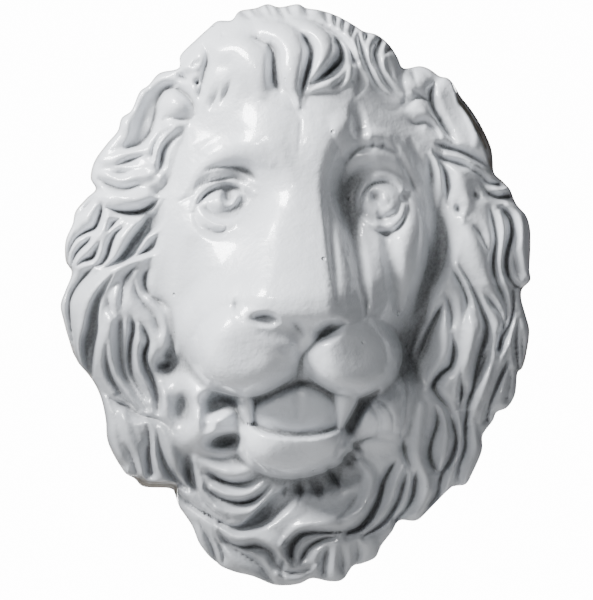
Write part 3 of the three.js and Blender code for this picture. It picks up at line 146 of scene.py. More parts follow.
# Carving rows, each group opening with the name of its cut, in the order of the work
# mound, pad: across, up, half width, half height, foot depth, top depth, turn in degrees, blend
# swell: across, up, half width, half height, rise (negative sinks), turn in degrees
# groove, parting, hollow, roll: strength as a share of the width, then points of across, up, width
# lock: strength, lift over the hair at the start and at the end, then points
BODY = [
    ['mound',
     [-8, 206, 132, 96, 60, CROWN_DEPTH, 0, 20],
     [0, 30, 156, 210, 60, SKULL_DEPTH, 0, 20]],
]

LOCKS = [
    # left side
    ['roll',
     [0.3, [-222, 80, 8], [-229, 60, 12], [-232, 44, 8]],
     [0.3, [-186, 84, 6], [-192, 66, 10], [-206, 48, 9], [-219, 36, 5]],
     [0.3, [-178, 72, 8], [-190, 56, 9], [-195, 44, 9], [-206, 34, 6]],
     [0.35, [-160, 74, 8], [-172, 60, 14], [-180, 46, 13], [-188, 36, 8]],
     [0.3, [-138, 66, 6], [-150, 58, 9], [-158, 50, 9], [-168, 40, 5]],
     [0.4, [-143, 42, 4], [-153, 39, 12], [-172, 30, 17], [-190, 18, 18], [-206, 0, 18], [-213, -25, 18],
      [-216, -50, 13], [-213, -68, 6]],
     [0.3, [-226, 22, 6], [-231, 4, 9], [-232, -20, 10], [-229, -45, 8]],
     [0.35, [-160, 26, 8], [-172, 14, 11], [-180, -4, 13], [-184, -24, 15], [-190, -50, 16], [-190, -76, 13],
      [-182, -92, 8]],
     [0.3, [-146, 0, 10], [-134, -20, 13], [-130, -45, 11], [-134, -70, 6]],
     [0.4, [-156, -26, 6], [-157, -50, 9], [-156, -70, 9], [-149, -83, 7], [-141, -96, 3]],
     [0.3, [-183, -42, 5], [-183, -60, 8], [-179, -76, 9], [-168, -92, 8], [-157, -107, 3]],
     [0.5, [-118, -10, 5], [-116, -35, 8], [-118, -58, 4]],
     [0.5, [-133, -86, 8], [-128, -104, 10], [-123, -122, 5]],
     [0.3, [-190, -98, 8], [-184, -125, 16], [-178, -150, 13], [-170, -172, 6]],
     [0.35, [-172, -112, 10], [-166, -140, 16], [-158, -165, 14], [-152, -180, 6]],
     [0.45, [-150, -118, 8], [-143, -135, 15], [-139, -155, 15], [-134, -172, 13], [-125, -187, 11],
      [-112, -200, 6]],
     [0.35, [-134, -126, 8], [-126, -145, 18], [-119, -165, 17], [-112, -182, 8]],
     [0.35, [-103, -155, 8], [-98, -180, 12], [-88, -200, 12], [-72, -214, 8]]],
    # beard
    ['roll',
     [0.4, [-100, -158, 10], [-80, -166, 20], [-60, -170, 23], [-42, -164, 14]],
     [0.4, [-84, -186, 8], [-66, -192, 14], [-48, -190, 14], [-34, -182, 10]],
     [0.35, [-80, -206, 8], [-60, -210, 12], [-40, -204, 11], [-26, -190, 8]],
     [0.45, [-78, -226, 8], [-62, -236, 17], [-42, -236, 19], [-22, -242, 20], [-10, -258, 11]],
     [0.3, [-72, -250, 8], [-52, -264, 16], [-34, -278, 10]],
     [0.45, [-20, -272, 8], [-6, -277, 10], [10, -272, 9], [20, -264, 6]],
     [0.45, [62, -160, 10], [72, -178, 17], [68, -200, 20], [50, -214, 22], [24, -220, 22], [2, -226, 16],
      [-14, -240, 10]],
     [0.45, [105, -164, 5], [97, -180, 9], [90, -200, 10], [80, -218, 9], [66, -230, 4]],
     [0.4, [111, -172, 4], [108, -190, 7], [102, -206, 7], [92, -218, 4]],
     [0.4, [122, -104, 10], [118, -130, 16], [118, -155, 18], [126, -175, 16], [128, -192, 14],
      [118, -212, 8]],
     [0.45, [142, -110, 5], [147, -130, 11], [145, -150, 13], [140, -168, 6]],
     [0.4, [158, -112, 6], [162, -135, 9], [160, -155, 9], [152, -175, 9], [146, -192, 7], [134, -208, 4]],
     [0.3, [172, -120, 8], [176, -145, 12], [170, -170, 10], [164, -186, 6]]],
    # right side
    ['roll',
     [0.4, [208, 94, 6], [220, 80, 10], [222, 60, 12], [224, 40, 12], [228, 24, 8]],
     [0.4, [200, 86, 6], [203, 66, 9], [201, 46, 9], [200, 28, 10], [208, 8, 11], [211, -10, 8],
      [208, -26, 4]],
     [0.25, [158, 84, 4], [164, 74, 16], [172, 58, 28], [178, 36, 26], [190, 12, 17], [200, -8, 8]],
     [0.35, [156, 34, 6], [170, 8, 9], [178, -14, 10], [180, -34, 8]],
     [0.4, [166, -4, 4], [170, -18, 14], [172, -32, 20], [168, -56, 18], [160, -76, 12], [156, -96, 8]],
     [0.45, [144, -12, 4], [144, -30, 14], [144, -50, 17], [134, -70, 13], [128, -88, 6]],
     [0.4, [198, -36, 5], [192, -55, 11], [186, -74, 13], [180, -94, 12], [174, -112, 9], [168, -124, 5]],
     [0.4, [216, -14, 5], [211, -38, 9], [204, -58, 10], [196, -78, 9], [188, -100, 8], [180, -120, 6]],
     [0.35, [214, -62, 5], [212, -84, 7], [204, -104, 6]],
     [0.4, [131, 144, 4], [138, 130, 8], [139, 110, 10], [138, 92, 6]],
     [0.4, [118, 148, 6], [126, 134, 9], [126, 118, 5]],
     [0.25, [148, 136, 4], [160, 120, 18], [166, 100, 21], [163, 84, 10], [162, 74, 4]],
     [0.4, [146, 142, 5], [166, 137, 8], [182, 125, 8], [196, 118, 8]],
     [0.5, [184, 120, 5], [198, 110, 8], [210, 110, 8]]],
]

PARTINGS = [
    # gap between the right cheek and the hair
    ['roll', [-0.7, [110, 154, 8], [122, 130, 22], [129, 106, 28], [134, 84, 32], [138, 60, 34],
      [135, 36, 32], [126, 12, 26], [116, -10, 22], [109, -32, 20], [108, -54, 10]]],
    ['swell', [-124, -70, 26, 26, -16, 0]],
    # left side
    ['parting',
     [1.1, [-194, 92, 3], [-196, 82, 7], [-201, 71, 7], [-211, 66, 6], [-220, 60, 4], [-227, 48, 3],
      [-230, 33, 3]],
     [1.0, [-203, 63, 1], [-208, 57, 5], [-216, 50, 6], [-222, 42, 5], [-226, 30, 3]],
     [1.0, [-194, 57, 1], [-199, 48, 4], [-203, 41, 6], [-212, 38, 4], [-220, 32, 1]],
     [1.0, [-170, 71, 1], [-180, 64, 4], [-185, 52, 6], [-187, 44, 6], [-192, 36, 4], [-202, 31, 1]],
     [1.0, [-137, 62, 4], [-142, 53, 8], [-148, 48, 5], [-158, 42, 3], [-165, 37, 1]],
     [1.1, [-188, 90, 2], [-176, 86, 5], [-163, 85, 8], [-152, 87, 8], [-143, 92, 6], [-136, 98, 2]],
     [0.9, [-200, 33, 1], [-210, 24, 5], [-220, 12, 6], [-226, 0, 6], [-227, -15, 5], [-224, -40, 4],
      [-222, -60, 4]],
     [0.8, [-155, 36, 1], [-165, 25, 4], [-171, 15, 4], [-173, 0, 2], [-173, -5, 1]],
     [0.7, [-160, 18, 1], [-158, 6, 3], [-150, -6, 4], [-141, -16, 4], [-136, -28, 4], [-134, -38, 1]],
     [0.8, [-146, 30, 2], [-150, 22, 5], [-149, 10, 5], [-140, 0, 4], [-128, -6, 6], [-122, -15, 6],
      [-121, -40, 8], [-126, -55, 13]],
     [1.0, [-163, -18, 2], [-162, -30, 7], [-165, -45, 9], [-166, -60, 10], [-164, -74, 9], [-158, -86, 7],
      [-150, -98, 4]],
     [1.1, [-155, -22, 1], [-150, -32, 4], [-147, -42, 5], [-151, -55, 8], [-149, -68, 10], [-143, -82, 11],
      [-138, -98, 11], [-137, -110, 4]],
     [0.9, [-188, -42, 1], [-189, -60, 4], [-186, -76, 6], [-178, -90, 7], [-168, -102, 7], [-158, -111, 5]],
     [0.9, [-111, -12, 1], [-110, -30, 6], [-110, -45, 9], [-114, -58, 14], [-123, -66, 18], [-134, -67, 10]],
     [0.3, [-174, -22, 4], [-175, -48, 14], [-172, -72, 14], [-160, -92, 14], [-149, -108, 9]]],
    # lower left
    ['parting',
     [1.0, [-193, -92, 1], [-182, -101, 3], [-170, -107, 6], [-160, -113, 7], [-152, -116, 5],
      [-140, -118, 3], [-128, -124, 3], [-115, -135, 1]],
     [0.9, [-148, -122, 2], [-146, -140, 7], [-147, -155, 8], [-146, -172, 9]],
     [0.9, [-172, -140, 1], [-167, -150, 4], [-163, -160, 6], [-160, -172, 5], [-158, -182, 3]],
     [0.9, [-138, -130, 1], [-136, -145, 3], [-133, -158, 5], [-128, -170, 5], [-120, -180, 6],
      [-110, -188, 3]],
     [0.9, [-108, -155, 4], [-108, -172, 11], [-105, -182, 10], [-98, -192, 3]],
     [0.9, [-131, -180, 2], [-122, -190, 5], [-112, -200, 5], [-100, -208, 4], [-88, -214, 4],
      [-75, -221, 3]]],
    # beard
    ['parting',
     [0.8, [-100, -150, 1], [-88, -153, 4], [-75, -157, 3], [-62, -154, 3], [-50, -158, 4], [-38, -155, 3]],
     [1.0, [-88, -171, 3], [-78, -178, 6], [-65, -182, 7], [-50, -181, 8], [-38, -174, 7], [-30, -165, 6],
      [-28, -159, 1]],
     [1.0, [-90, -187, 2], [-78, -196, 4], [-62, -201, 5], [-48, -200, 5], [-36, -193, 5], [-28, -184, 4],
      [-22, -176, 1]],
     [0.8, [-97, -222, 2], [-90, -235, 4], [-84, -250, 5], [-80, -268, 5]],
     [0.9, [-78, -228, 2], [-70, -240, 5], [-55, -245, 5], [-40, -244, 7], [-28, -250, 5], [-22, -262, 4],
      [-14, -270, 3], [0, -272, 3], [12, -268, 2]],
     [0.8, [-76, -240, 2], [-62, -248, 4], [-50, -256, 4], [-38, -264, 3], [-30, -274, 3], [-22, -284, 2]],
     [1.1, [46, -229, 2], [30, -230, 4], [15, -230, 6], [3, -233, 9], [-4, -241, 10], [-7, -251, 8],
      [-4, -260, 3]],
     [0.9, [40, -234, 2], [24, -238, 6], [12, -245, 6], [6, -254, 5], [2, -262, 1]],
     [0.8, [30, -246, 3], [27, -258, 6], [26, -272, 4]],
     [1.1, [98, -158, 1], [92, -167, 5], [85, -182, 8], [80, -198, 9], [72, -214, 9], [62, -226, 8],
      [50, -231, 4]],
     [1.0, [107, -172, 2], [104, -186, 6], [100, -200, 7], [92, -214, 6], [80, -226, 5], [66, -234, 3]],
     [0.9, [117, -168, 1], [116, -182, 6], [114, -196, 8], [108, -208, 6], [98, -220, 5]],
     [0.9, [136, -106, 2], [138, -122, 5], [132, -142, 6], [131, -155, 7], [135, -166, 5], [142, -171, 3]],
     [1.0, [148, -110, 1], [154, -124, 5], [157, -140, 7], [153, -156, 7], [145, -170, 6], [141, -182, 6],
      [139, -194, 5], [130, -206, 3], [125, -214, 2]],
     [1.0, [168, -112, 4], [166, -130, 7], [166, -148, 9], [160, -165, 6], [158, -185, 6]],
     [0.8, [115, -98, 2], [112, -112, 5], [110, -126, 5], [104, -138, 5], [106, -152, 4], [111, -164, 2]]],
    # right side
    ['parting',
     [1.1, [203, 90, 3], [211, 80, 8], [213, 66, 8], [209, 50, 7], [207, 38, 8], [209, 24, 7], [216, 14, 6],
      [222, 11, 3]],
     [1.0, [190, 90, 2], [194, 74, 4], [196, 58, 4], [194, 42, 5], [194, 28, 5], [198, 14, 4], [204, 2, 4],
      [208, -12, 4], [205, -28, 3]],
     [0.9, [158, 34, 1], [168, 18, 3], [175, 4, 4], [181, -10, 6], [187, -25, 9], [186, -38, 10],
      [181, -54, 10], [177, -72, 9], [174, -88, 8], [169, -102, 5], [167, -112, 3]],
     [0.9, [214, 8, 4], [214, -10, 5], [210, -26, 6], [203, -38, 6], [199, -50, 4]],
     [1.0, [152, -36, 1], [154, -52, 5], [151, -66, 6], [142, -74, 7], [135, -84, 8], [138, -94, 6],
      [146, -104, 4], [153, -114, 2]],
     [1.0, [143, -4, 2], [137, -18, 6], [130, -34, 7], [125, -48, 6], [120, -60, 2]],
     [0.8, [128, -2, 1], [124, -20, 5], [114, -38, 6]],
     [0.8, [160, -66, 1], [161, -80, 4], [162, -94, 5], [160, -108, 2]],
     [0.9, [188, -42, 1], [186, -58, 5], [180, -74, 5], [177, -88, 2]],
     [0.9, [209, -50, 2], [206, -66, 5], [200, -80, 7], [194, -94, 6], [190, -106, 4], [188, -120, 4]],
     [1.0, [219, -20, 2], [217, -36, 5], [218, -54, 6], [220, -68, 5]],
     [1.0, [132, 146, 1], [140, 136, 3], [146, 124, 5], [148, 110, 5], [148, 96, 3], [151, 84, 1]],
     [0.9, [134, 154, 1], [146, 150, 6], [160, 146, 6], [174, 140, 7], [186, 134, 8], [196, 128, 8]],
     [0.8, [132, 147, 1], [144, 138, 6], [156, 134, 6], [170, 130, 3]],
     [0.8, [166, 130, 2], [180, 124, 5], [190, 115, 6], [200, 114, 6]],
     [0.9, [180, 118, 1], [188, 106, 4], [198, 101, 7], [210, 102, 8]]],
    # deep pockets
    ['hollow',
     [1.0, [-131, 96, 5], [-136, 82, 14], [-144, 74, 18], [-152, 66, 15], [-160, 55, 15], [-168, 44, 13],
      [-178, 36, 8], [-192, 29, 2]],
     [1.0, [-181, 24, 2], [-190, 12, 6], [-197, 0, 8], [-201, -15, 11], [-203, -30, 14], [-207, -45, 16],
      [-207, -60, 13], [-205, -76, 5]],
     [0.9, [-78, -221, 4], [-60, -226, 8], [-45, -222, 14], [-32, -213, 20], [-20, -202, 22], [-8, -192, 18],
      [2, -180, 6]]],
]

CROWN = [
    # forelock
    ['roll', [0.2, [-112, 226, 10], [-86, 244, 30], [-56, 246, 40], [-40, 222, 38], [-36, 198, 18]]],
    ['lock',
     [0.34, -8, 8, [-62, 256, 10], [-40, 264, 20], [-16, 258, 28], [-4, 240, 29], [-4, 218, 24], [1, 198, 12],
      [2, 186, 3]],
     [0.36, -8, 8, [-34, 274, 8], [-8, 272, 16], [14, 262, 22], [25, 246, 24], [21, 226, 20], [12, 211, 10],
      [7, 199, 3]],
     [0.36, -6, 6, [14, 272, 6], [36, 260, 10], [50, 242, 13], [50, 221, 15], [38, 208, 14], [22, 204, 8],
      [8, 199, 3]]],
    ['parting',
     [0.9, [-32, 252, 1], [-24, 240, 6], [-23, 224, 7], [-22, 210, 6], [-17, 199, 2]],
     [1.1, [4, 258, 1], [10, 250, 6], [14, 240, 8], [12, 226, 7], [8, 212, 7], [5, 200, 5], [4, 190, 3],
      [3, 180, 2]],
     [1.1, [36, 256, 2], [42, 246, 8], [42, 234, 10], [34, 224, 8], [24, 216, 5], [12, 207, 3]],
     [0.7, [48, 222, 1], [44, 212, 4], [38, 206, 4], [32, 203, 1]],
     [0.8, [8, 276, 1], [26, 268, 3], [40, 258, 4], [50, 246, 4], [55, 232, 5]]],
    ['roll',
     [-0.5, [52, 240, 4], [58, 226, 12], [61, 212, 15], [58, 198, 5]],
     [0.3, [34, 270, 6], [54, 254, 10], [60, 238, 8]]],
    ['parting',
     [0.8, [60, 262, 3], [62, 248, 4], [66, 234, 5], [73, 218, 5], [82, 205, 4], [96, 197, 1]],
     [0.8, [77, 252, 3], [76, 240, 4], [79, 228, 4], [86, 214, 4], [95, 203, 2]]],
    ['roll',
     [0.3, [70, 256, 8], [69, 240, 12], [76, 222, 12], [88, 206, 8], [102, 196, 4]],
     [0.3, [88, 250, 10], [88, 232, 18], [96, 212, 14], [106, 198, 6]]],
    ['groove', [0.4, [58, 204, 3], [66, 194, 6], [80, 187, 7], [94, 184, 6], [106, 190, 3]]],
    # short tufts along the top edge
    ['parting',
     [1.0, [27, 293, 6], [28, 284, 5], [30, 271, 2]],
     [1.0, [39, 289, 6], [38, 280, 6], [38, 267, 2]],
     [1.0, [51, 284, 6], [46, 275, 6], [45, 262, 2]],
     [1.0, [62, 277, 6], [56, 269, 6], [53, 257, 2]],
     [1.0, [73, 272, 6], [69, 263, 6], [67, 250, 2]],
     [1.0, [89, 264, 6], [82, 256, 6], [78, 244, 3]],
     [1.1, [101, 254, 6], [92, 249, 6], [87, 242, 2]],
     [0.7, [-24, 297, 6], [-18, 288, 6], [-12, 276, 2]],
     [0.4, [-60, 291, 4], [-52, 282, 4], [-44, 274, 1]],
     [0.4, [-43, 294, 4], [-37, 284, 4], [-30, 276, 1]]],
    ['roll', [0.12, [-100, 250, 10], [-84, 266, 24], [-60, 272, 26], [-34, 274, 16]]],
    # left ear
    ['roll',
     [0.25, [-100, 226, 8], [-124, 224, 20], [-148, 208, 24], [-166, 186, 26], [-180, 162, 22],
      [-194, 142, 14]],
     [-0.5, [-120, 212, 4], [-134, 210, 12], [-146, 198, 20], [-151, 180, 24], [-157, 163, 20],
      [-168, 151, 8]],
     [0.3, [-122, 208, 10], [-121, 192, 36], [-122, 174, 24]]],
    ['parting', [0.8, [-99, 177, 1], [-102, 190, 4], [-109, 200, 5], [-121, 208, 5], [-132, 207, 4],
      [-139, 197, 4], [-141, 184, 5], [-146, 166, 5], [-156, 154, 5], [-170, 149, 2]]],
    ['roll', [0.4, [-110, 172, 8], [-130, 162, 16], [-140, 146, 18], [-138, 128, 16], [-132, 112, 8]]],
    ['parting',
     [0.8, [-121, 169, 1], [-132, 163, 3], [-140, 153, 4], [-143, 142, 4], [-140, 134, 1]],
     [0.9, [-112, 162, 1], [-125, 155, 3], [-132, 145, 4], [-134, 133, 5], [-137, 122, 2]],
     [0.9, [-110, 160, 2], [-115, 148, 6], [-120, 134, 6], [-123, 122, 5], [-130, 111, 6], [-137, 104, 7]]],
    ['groove', [0.8, [-136, 174, 2], [-128, 178, 5], [-118, 177, 7], [-106, 176, 6], [-100, 180, 3]]],
    ['roll', [0.25, [-146, 146, 10], [-168, 142, 16], [-192, 136, 12]]],
    ['parting', [0.7, [-150, 142, 1], [-165, 137, 4], [-179, 132, 1]]],
    ['roll', [0.25, [-146, 122, 12], [-170, 118, 18], [-196, 122, 12]]],
    ['parting', [0.5, [-156, 112, 2], [-172, 108, 5], [-186, 112, 5], [-196, 119, 3]]],
    ['roll', [0.3, [-134, 104, 8], [-156, 98, 20], [-180, 98, 22], [-200, 104, 12]]],
    # right ear
    ['roll',
     [0.22, [112, 232, 10], [114, 216, 28], [116, 200, 22]],
     [0.25, [104, 186, 10], [118, 186, 24], [136, 176, 12]],
     [0.2, [120, 232, 8], [140, 226, 18], [158, 212, 20], [171, 194, 20], [178, 172, 18], [176, 152, 8]]],
    ['swell', [156, 186, 26, 40, -7, 24]],
    ['parting', [0.9, [136, 214, 2], [132, 202, 6], [135, 188, 8], [141, 177, 7], [149, 164, 5],
      [156, 154, 2]]],
    ['groove', [0.5, [102, 190, 3], [106, 199, 5], [104, 210, 5], [104, 222, 5], [108, 231, 6]]],
    ['parting', [0.5, [112, 206, 1], [122, 200, 4], [131, 196, 3]]],
    ['groove',
     [0.7, [176, 210, 6], [168, 200, 5], [167, 190, 2]],
     [0.7, [188, 192, 6], [177, 187, 5], [172, 178, 2]],
     [0.7, [196, 172, 6], [184, 172, 5], [176, 166, 2]]],
]

FACE = [
    ['mound',
     [2, 140, 124, 92, 84, FOREHEAD_DEPTH, 0, 22],
     [-70, 50, 76, 138, 74, CHEEK_DEPTH + 2, 5, 26],
     [76, 54, 66, 122, 74, CHEEK_DEPTH - 2, -5, 24],
     [-2, -126, 96, 92, 60, JAW_DEPTH, 0, 22],
     [-22, -4, 106, 112, 92, MUZZLE_DEPTH, 8, 26],
     [36, -12, 84, 92, 92, MUZZLE_DEPTH - 2, -8, 22],
     [-52, -26, 62, 66, 110, MUZZLE_DEPTH + 8, 20, 26],
     [50, -30, 54, 56, 110, MUZZLE_DEPTH + 4, -20, 20]],
]

EYES = [
    # eye hollows
    ['swell',
     [-68, 104, 70, 54, -9, -12],
     [-42, 110, 40, 46, -9, 0],
     [80, 98, 64, 62, -13, 8],
     [49, 112, 31, 64, -15, -6]],
    # brow folds
    ['roll',
     [0.15, [-114, 100, 8], [-98, 122, 24], [-74, 137, 32], [-48, 141, 30], [-26, 130, 12]],
     [0.26, [44, 140, 6], [56, 152, 14], [72, 158, 18], [88, 155, 17], [102, 144, 12], [111, 130, 6]],
     [0.26, [46, 114, 6], [58, 131, 16], [76, 138, 20], [93, 134, 18], [106, 122, 10], [110, 110, 4]]],
    ['groove',
     [0.6, [46, 130, 2], [57, 143, 5], [70, 148, 5], [86, 147, 5], [98, 140, 3], [104, 132, 1]],
     [0.4, [-92, 123, 2], [-82, 127, 5], [-68, 128, 7], [-54, 126, 8], [-42, 120, 6], [-34, 112, 2]]],
    # eyeballs
    ['mound',
     [-73, 96, EYE_RADIUS + 4, EYE_RADIUS, EYE_DEPTH - 6, EYE_DEPTH + 6, 0, 5],
     [82, 94, EYE_RADIUS + 2, EYE_RADIUS + 1, EYE_DEPTH - 9, EYE_DEPTH + 1, 0, 4]],
    # lids
    ['roll',
     [0.3, [-102, 86, 4], [-97, 101, 9], [-87, 112, 12], [-74, 117, 13], [-59, 114, 12], [-42, 102, 6]],
     [0.2, [-96, 90, 4], [-89, 79, 9], [-76, 73, 11], [-61, 75, 10], [-44, 86, 4]],
     [0.36, [56, 86, 4], [61, 102, 9], [70, 114, 11], [84, 119, 12], [98, 113, 11], [108, 98, 4]],
     [0.36, [62, 80, 4], [73, 72, 10], [88, 71, 12], [100, 80, 10], [105, 93, 4]]],
    ['groove',
     [0.4, [-101, 98, 1], [-98, 109, 3], [-89, 117, 5], [-75, 122, 5], [-60, 120, 4], [-46, 112, 1]],
     [0.8, [-95, 92, 2], [-89, 101, 6], [-80, 107, 7], [-70, 110, 7], [-57, 107, 4]],
     [0.7, [61, 90, 2], [64, 102, 5], [73, 111, 6], [86, 112, 5], [98, 106, 3]],
     [0.3, [-91, 95, 1], [-89, 87, 4], [-81, 82, 4], [-66, 82, 4], [-54, 88, 4]],
     [0.5, [64, 84, 2], [76, 79, 3], [88, 80, 3], [97, 87, 4], [101, 97, 4], [103, 103, 3]]],
    # pupils
    ['swell',
     [-67, 101, 11, 12, -6, 20],
     [-74, 95, 7, 7, 1.5, 0],
     [79, 96, 14, 14, -5.5, 0],
     [84, 96, 7, 8, 4, 0],
     [105, 99, 6, 9, -5, 0]],
    # under the eyes
    ['roll', [-0.22, [-100, 84, 3], [-96, 72, 8], [-86, 64, 11], [-73, 62, 11], [-60, 67, 5]]],
    ['groove',
     [0.6, [68, 71, 2], [80, 64, 5], [93, 66, 6], [103, 75, 6], [108, 90, 4], [108, 100, 4], [112, 106, 2]],
     [0.5, [-99, 101, 2], [-108, 98, 3], [-115, 94, 2], [-121, 85, 1]],
     [0.45, [104, 132, 2], [116, 108, 9], [125, 78, 15], [129, 44, 18], [123, 10, 16], [116, -14, 6]],
     [0.6, [97, 138, 1], [105, 126, 8], [112, 112, 8], [116, 100, 2]]],
    # cheeks
    ['swell',
     [112, 58, 28, 62, 10, -5],
     [-104, 18, 18, 50, -4, -8]],
    ['roll', [-0.3, [79, 84, 6], [86, 62, 16], [91, 38, 21], [95, 14, 20], [97, -10, 10]]],
    # folds beside the nose
    ['roll',
     [-0.3, [26, 104, 6], [29, 80, 11], [32, 56, 12], [34, 34, 11], [36, 12, 8], [38, -4, 4]],
     [0.2, [38, 92, 6], [42, 64, 14], [45, 36, 16], [47, 12, 14], [46, -6, 6]],
     [-0.28, [52, 88, 6], [56, 60, 14], [60, 32, 16], [63, 8, 14], [64, -10, 8], [62, -22, 4]]],
]

MUZZLE = [
    ['pad',
     [-46, -46, PAD_WIDTH, PAD_HEIGHT, 128, PAD_DEPTH - 6, 22, 24],
     [50, -51, PAD_WIDTH - 3, PAD_HEIGHT - 4, 122, PAD_DEPTH - 7, -18, 18]],
    ['swell', [94, -48, 66, 76, -27, -10]],
    # nostrils and the fold from them to the lip
    ['roll', [0.12, [-60, -14, 8], [-46, -30, 18], [-28, -42, 16], [-12, -54, 6]]],
    ['swell',
     [0, -30, 46, 15, -6, 0],
     [-31, -19, 18, 9, -11, -6],
     [30, -29, 20, 12, -11, 28]],
    ['groove',
     [0.7, [44, -24, 4], [33, -29, 8], [22, -37, 9], [12, -47, 7], [4, -57, 6], [1, -68, 6], [1, -86, 5]],
     [0.6, [-56, 1, 1], [-58, -8, 4], [-60, -16, 1]],
     [0.5, [64, 8, 1], [66, -6, 5], [65, -16, 4], [54, -23, 4], [44, -24, 4]]],
    ['roll', [-0.16, [-1, -20, 8], [0, -32, 16], [1, -44, 12], [1, -58, 5]]],
    ['swell', [10, -34, 10, 9, 3, 0]],
    # forehead
    ['groove', [0.3, [-46, 196, 1], [-28, 189, 4], [-12, 183, 5], [0, 176, 6], [3, 166, 6], [1, 140, 3]]],
    ['swell',
     [26, 150, 36, 54, 6, 0],
     [-30, 150, 40, 54, 5, 0],
     [44, 162, 17, 24, 5, 8]],
    ['groove', [0.3, [30, 166, 1], [33, 156, 4], [38, 148, 5], [43, 138, 4], [48, 130, 1]]],
    ['swell', [59, 168, 11, 30, -6, 10]],
    # chin
    ['pad', [-3, -136, CHIN_WIDTH, CHIN_HEIGHT, 98, CHIN_DEPTH, 0, 18]],
    ['swell', [20, -173, 72, 45, -20, 0]],
    # jaw at the corners of the mouth
    ['mound',
     [-84, -108, 58, 62, 66, CHEEK_DEPTH - 4, 0, 22],
     [82, -104, 48, 56, 66, CHEEK_DEPTH - 8, 0, 20]],
]

MOUTH = [
    ['pad', [0, -108, TONGUE_WIDTH, TONGUE_HEIGHT, MOUTH_FLOOR_DEPTH + 12, TONGUE_DEPTH, 0, 5]],
    ['roll', [-0.12, [0, -84, 8], [1, -98, 13], [1, -112, 8]]],
    ['groove', [0.6, [-29, -118, 2], [-14, -126, 4], [0, -128, 4], [14, -126, 4], [28, -121, 2]]],
    # eye teeth
    ['lock',
     [0.5, 30, 32, [-52, -86, 20], [-50, -100, 17], [-46, -116, 7]],
     [0.5, 32, 34, [47, -84, 28], [45, -102, 20], [41, -122, 5]]],
    # folds of the lip at the right
    ['groove',
     [0.55, [99, -62, 2], [104, -80, 8], [106, -98, 10], [104, -118, 10], [101, -133, 4]],
     [0.55, [62, -139, 2], [74, -134, 7], [88, -132, 9], [101, -133, 4]],
     [0.55, [66, -98, 2], [74, -108, 7], [80, -120, 8], [77, -133, 3]]],
    # hollows at the corners of the mouth
    ['swell',
     [-113, -108, 20, 34, -22, 4],
     [-110, -107, 13, 20, -10, 0],
     [-76, -102, 30, 19, -27, 6],
     [-70, -111, 17, 10, 12, 32],
     [-88, -118, 10, 16, -8, 0],
     [-72, -139, 25, 13, -24, 8]],
    ['groove', [0.5, [-82, -119, 1], [-70, -123, 4], [-61, -118, 4], [-55, -110, 2]]],
    ['roll',
     [-0.8, [77, -88, 8], [67, -97, 13], [58, -109, 14], [51, -122, 13], [45, -135, 12], [38, -149, 7]],
     [0.2, [70, -106, 6], [63, -120, 10], [57, -135, 10], [50, -148, 6]]],
    ['swell', [90, -113, 20, 24, 5, 0]],
    ['groove',
     [0.5, [78, -98, 3], [86, -104, 5], [92, -114, 6], [93, -128, 4]],
     [0.6, [56, -142, 4], [68, -137, 6], [80, -136, 6], [97, -139, 3]]],
    # short tufts under the chin
    ['groove',
     [0.7, [50, -137, 4], [57, -144, 9], [66, -150, 2]],
     [0.7, [42, -151, 4], [49, -158, 9], [57, -165, 2]],
     [0.7, [30, -166, 4], [36, -175, 9], [42, -185, 2]],
     [0.7, [18, -176, 4], [22, -186, 9], [25, -197, 2]],
     [0.7, [2, -178, 4], [3, -189, 9], [1, -202, 2]]],
]

# Nose bridge: up, depth as a share of the nose, half width to the left, half width to the right
BRIDGE = [
    [-300, 0, 20, 22], [-150, 0.1, 20, 22], [-110, 0.4, 20, 22], [-85, 0.66, 24, 24], [-60, 0.81, 28, 26],
    [-40, 0.895, 32, 27], [-26, 0.955, 34, 27], [-16, 0.99, 34, 26], [-8, 1, 32, 25], [5, 0.99, 29, 24],
    [30, 0.915, 22, 22], [60, 0.83, 18, 21], [90, 0.767, 20, 22], [120, 0.723, 30, 25], [150, 0.7, 46, 34],
    [175, 0.67, 50, 44], [200, 0.6, 50, 46], [230, 0.45, 50, 50], [300, 0.1, 50, 50],
]
BRIDGE_CENTRE = 2
BRIDGE_LEFT_FALL = 0.8
BRIDGE_RIGHT_FALL = 1.5
BRIDGE_LEFT_ROUNDING = 36
BRIDGE_RIGHT_ROUNDING = 20
BRIDGE_CROWN = 0.004
BRIDGE_BLEND = 18

# Opening between the lips: across, top edge, bottom edge
LIPS = [
    [-80, -92, -94], [-58, -96, -110], [-42, -97, -123], [-20, -92, -129], [-4, -83, -131],
    [4, -80, -131], [18, -84, -130], [34, -92, -127], [48, -97, -122], [62, -98, -102],
    [80, -92, -94],
]
LIP_SOFTNESS = 3

# Where the side is shown: bearings, in degrees, where it starts, is full, ends being full and
# ends, then its slope
SHOWN_SIDES = [
    [56, 50, 36, 30, FLARE_SLOPE], [-18, -34, -102, -118, EDGE_SLOPE],
    [-119, -123, -131, -135, FLARE_SLOPE],
]
# Hair on a flared side counts as cut back from this far under its slope, over this many units
CUT_BACK_START = 3
CUT_BACK_SPAN = 9

